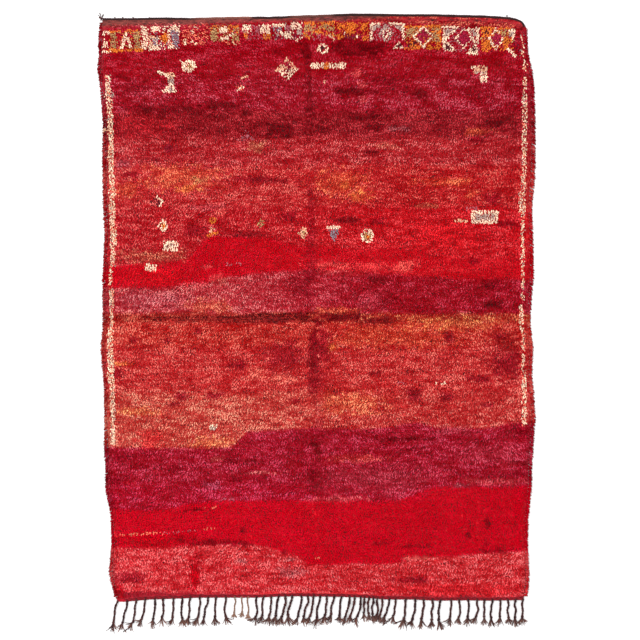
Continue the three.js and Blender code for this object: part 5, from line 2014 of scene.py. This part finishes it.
@dataclass
class Fringe:
    """The lower end: a plied strip along the hem, and knotted strands with frayed brushes."""

    outline: RugOutline
    lines: Strands
    centring: Pair = (1.53 * MM, -0.11 * MM)
    strip: float = 13.0 * MM
    strip_ends: Pair = (-888.0 * MM, 925.0 * MM)
    strip_first: float = 1.7
    strip_pitch: float = 3.15
    strip_lay: float = 22.0 * MM
    strip_height: float = 3.0 * MM
    gap: float = 0.3 * MM
    ply: float = 3.9 * MM
    twists: float = 5.2
    hidden: float = 6.5
    thin_run: float = 0.9
    pale: float = 0.34
    knot_share: float = 0.7
    knot_turns: float = 2.6
    knot_length: float = 0.055
    brush: float = 40.0 * MM
    fibres: int = 15
    kink: float = 7.0
    stray_bend: float = 3.0 * MM
    stray_height: float = 2.4 * MM

    def path(self, strand: FringeStrand, shares: Array) -> Array:
        """The level line of one strand, the same as its solid's.

        Args:
            strand: the strand.
            shares: places along it, from 0 at the root to 1 at the tip.

        Returns:
            Points across and along, in metres.
        """
        number, run = strand.number, strand.run
        pitch = (run.last - run.first) / (run.strands - 1)
        root = run.first + pitch * strand.index
        lean = run.lean + 0.25 * pitch * (scatter(number, 22) - 0.5)
        sway = 0.3 * pitch * (scatter(number, 23) - 0.5)
        reach = run.reach * (1.0 + 0.1 * (scatter(number, 21) - 0.5))
        kink = self.kink * (
            (scatter(number, 24) - 0.5) * np.sin(2.0 * math.pi * shares)
            + (scatter(number, 25) - 0.5) * np.sin(3.0 * math.pi * shares)
            + 0.5 * (scatter(number, 26) - 0.5) * np.sin(6.0 * math.pi * shares)
        )
        x = root + lean * shares ** 1.2 + sway * np.sin(math.pi * shares) + kink
        edge = float(self.outline.lower(root * MM + self.centring[0]) - self.strip - self.gap)
        return np.column_stack([x * MM + self.centring[0], edge - mix(-self.hidden, reach, shares) * MM])

    def build(self, tree: GeometryTree, wool: Material) -> Piece:
        """Makes the strip, the plied strands, their knots and their brushes.

        Args:
            tree: the spun yarn tree.
            wool: the fringe's material.

        Returns:
            The piece.
        """
        self.add_strip()
        number = 0
        for run in FRINGE_RUNS:
            pale = self.pale if run.stout < self.thin_run else 0.0
            dyes = [mix(linear(one), linear(PALE_WARP), pale) for one in FRINGE_DYES]
            for index in range(run.strands):
                number += 1
                self.add_strand(FringeStrand(number, run, index, dyes))
        self.add_strays()
        return self.lines.piece("fringe_yarn", 5, tree, wool)

    def add_strip(self) -> None:
        """Lays four twisted cords side by side along the hem."""
        x = np.linspace(*self.strip_ends, 330)
        walked = x - x[0]
        at_corner = smooth((-0.835 - x) / 0.03)[:, None]
        for cord in range(4):
            aside = (self.strip_first + self.strip_pitch * cord) * MM
            for ply in range(2):
                turn = 2.0 * math.pi * walked / self.strip_lay + math.pi * ply + 1.3 * cord
                y = self.outline.lower(x) - self.gap - aside + 1.2 * MM * np.cos(turn)
                z = self.strip_height + 0.9 * MM * np.sin(turn)
                dye = mix(linear(STRIP_DYES[(cord + ply) % 3]), linear(CORNER_RED), at_corner)
                slubs = 0.3 * np.sin(walked / MM * 0.42 + 2.0 * cord)
                stout = 1.5 + slubs + 0.25 * np.sin(walked / MM * 0.27 + ply)
                self.lines.add(np.column_stack([x, y, z]), stout * MM, dye)

    def add_strand(self, strand: FringeStrand) -> None:
        """Adds one strand of two plies, with its knots and its brush.

        Args:
            strand: the strand.
        """
        number, run = strand.number, strand.run
        ply = self.ply * run.stout
        shares = np.linspace(0.0, self.knot_share + 0.02, 16)
        line = self.path(strand, shares)
        aside = sideways(line)[:, :2]
        for side in range(2):
            turn = 2.0 * math.pi * shares * self.twists + math.pi * side + number
            flat = line + aside * (0.62 * ply * np.cos(turn))[:, None]
            high = 1.3 * ply + 0.25 * ply * np.sin(turn)
            stout = ply * (0.94 - 0.1 * shares + 0.16 * np.sin(31.0 * shares + 2.0 * number))
            self.lines.add(np.column_stack([flat, high]), stout, strand.dyes[(number + side) % 3])
        upper = [0.16 + 0.14 * scatter(number + knot, 27) for knot in range(run.knots)]
        for place in (self.knot_share, *upper):
            self.add_knot(strand, place)
        self.add_brush(strand)

    def add_knot(self, strand: FringeStrand, place: float) -> None:
        """Winds a knot round a strand.

        Args:
            strand: the strand.
            place: the knot's share of the way to the tip.
        """
        turn = np.linspace(0.0, 2.0 * math.pi * self.knot_turns, 24)
        share = turn / turn[-1]
        line = self.path(strand, place + (share - 0.5) * self.knot_length)
        ply = self.ply * strand.run.stout
        radius = ply * (0.8 + 0.5 * np.sin(math.pi * share))
        x = line[:, 0] + radius * np.cos(turn)
        z = 1.5 * ply + 0.6 * radius * np.sin(turn)
        self.lines.add(np.column_stack([x, line[:, 1], z]), 0.6 * ply, strand.dyes[strand.number % 3])

    def add_brush(self, strand: FringeStrand) -> None:
        """Splays the loose fibres beyond the last knot, in three prongs.

        Args:
            strand: the strand.
        """
        shares = np.linspace(0.0, 1.0, 7)
        knot, beyond = self.path(strand, np.array((self.knot_share, self.knot_share + 0.1)))
        ahead = math.atan2(beyond[1] - knot[1], beyond[0] - knot[0])
        for fibre in range(self.fibres):
            salt = strand.number * self.fibres + fibre
            prong = strand.number * 3 + fibre % 3
            splay = 0.55 * (scatter(prong, 51) - 0.5) + 0.55 * (scatter(salt, 52) - 0.5)
            curl = 1.5 * (scatter(prong, 56) - 0.5) + 1.6 * (scatter(salt, 53) - 0.5)
            length = self.brush * strand.run.stout * mix(0.75, 1.25, scatter(prong, 57))
            length *= mix(0.8, 1.1, scatter(salt, 58))
            turn = ahead + splay + curl * shares
            step = length / (len(shares) - 1)
            x = knot[0] + step * np.cumsum(np.cos(turn)) - step * math.cos(turn[0])
            y = knot[1] + step * np.cumsum(np.sin(turn)) - step * math.sin(turn[0])
            high = mix(4.0, 1.2, shares) * MM + 1.6 * MM * scatter(salt, 54) * (1.0 - shares) + 0.2 * MM
            worn = 0.5 * scatter(salt, 55) ** 2 * shares[:, None]
            dye = mix(strand.dyes[fibre % 3], linear(BRUSH_TIP), worn)
            self.lines.add(np.column_stack([x, y, high]), mix(2.3, 0.9, shares) * MM, dye)

    def add_strays(self) -> None:
        """Lets a few ends lie loose, away from their brushes."""
        share = np.linspace(0.0, 1.0, 6)
        for number, (start, end) in enumerate(FRINGE_STRAYS):
            x, y = from_chart(mix(start[0], end[0], share), mix(start[1], end[1], share))
            for fibre in range(3):
                bend = self.stray_bend * (scatter(number * 3 + fibre, 61) - 0.5)
                high = np.full(len(x), self.stray_height)
                points = np.column_stack([x, y + bend * np.sin(2.5 * share), high])
                self.lines.add(points, mix(1.9, 0.9, share) * MM, linear(FRINGE_DYES[(number + fibre) % 3]))

    def dress(self, piece: Piece) -> None:
        """Puts the fringe on the rug in place of its solid."""
        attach(piece, "root")
        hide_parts("fringe")


@dataclass
class Studio:
    """The floor, the light and the camera."""

    floor_size: float = 9.0
    floor_height: float = -0.4 * MM
    camera_height: float = 6.733
    middle: Pair = (0.0171, 0.0067)
    lens: float = 85.0
    sensor: float = 36.0
    sky: float = 2.25
    lamp: float = 260.0
    lamp_size: float = 4.0
    lamp_place: tuple[float, float, float] = (-2.4, 2.6, 4.6)

    def build_floor(self) -> None:
        """Lays the floor just under the rug."""
        half = self.floor_size / 2.0
        corners = [(-half, -half, 0.0), (half, -half, 0.0), (half, half, 0.0), (-half, half, 0.0)]
        mesh = bpy.data.meshes.new("floor")
        mesh.from_pydata(corners, [], [(0, 1, 2, 3)])
        mesh.materials.append(FloorPaint("floor_paint", sheen=0.0).material())
        floor = add_piece("floor", mesh)
        floor.location.z = self.floor_height

    def build_light(self) -> None:
        """Lights the rug softly from above and a little from the upper left."""
        world = bpy.data.worlds.new("studio")
        world.use_nodes = True
        sky = world.node_tree.nodes["Background"]
        sky.inputs["Color"].default_value = (1.0, 1.0, 1.0, 1.0)
        sky.inputs["Strength"].default_value = self.sky
        bpy.context.scene.world = world
        light = bpy.data.lights.new("softbox", "AREA")
        light.shape = "SQUARE"
        light.size = self.lamp_size
        light.energy = self.lamp
        lamp = add_piece("softbox", light)
        lamp.location = self.lamp_place
        lamp.rotation_euler = (-lamp.location).to_track_quat("-Z", "Y").to_euler()

    def build_camera(self) -> None:
        """Hangs the camera over the middle of the rug, looking straight down."""
        camera = bpy.data.cameras.new("camera")
        camera.lens = self.lens
        camera.sensor_width = self.sensor
        camera.clip_end = 60.0
        eye = add_piece("camera", camera)
        eye.location = (*self.middle, self.camera_height)
        bpy.context.scene.camera = eye
        bpy.context.scene.view_settings.view_transform = "Standard"


def plain(box: Any) -> list:
    """A box of vectors as plain lists of numbers."""
    return [[float(one) for one in corner] for corner in box]


def main() -> None:
    """Builds the rug piece by piece."""
    logging.basicConfig(level=logging.INFO, format="%(name)s: %(message)s")
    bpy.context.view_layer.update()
    studio = Studio()
    studio.build_camera()
    outline = RugOutline(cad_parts["rug_body"])
    colours = RugColours(outline)
    locks, spun = lock_tree(), spun_tree()
    pile = Pile(outline, colours)
    strips = pile.build(locks, PileWool("pile_wool").material())
    pile.dress(strips)
    plait = PlaitedCord(outline)
    cord = plait.build(spun, SpunWool("cord_wool").material())
    plait.dress(cord)
    corner = CornerTassel()
    tassel = corner.build(spun, SpunWool("tassel_wool").material())
    corner.dress(tassel)
    lower_end = Fringe(outline, Strands())
    fringe = lower_end.build(spun, SpunWool("warp_wool").material())
    lower_end.dress(fringe)
    foundation = Foundation(outline, colours)
    sheet = foundation.build()
    foundation.dress(sheet, [*strips, cord, tassel, fringe])
    for piece in (sheet, cord, tassel, fringe):
        LOG.info("%s: %d triangles", piece.name, count_triangles(piece))
    studio.build_floor()
    studio.build_light()


if __name__ == "__main__":
    main()
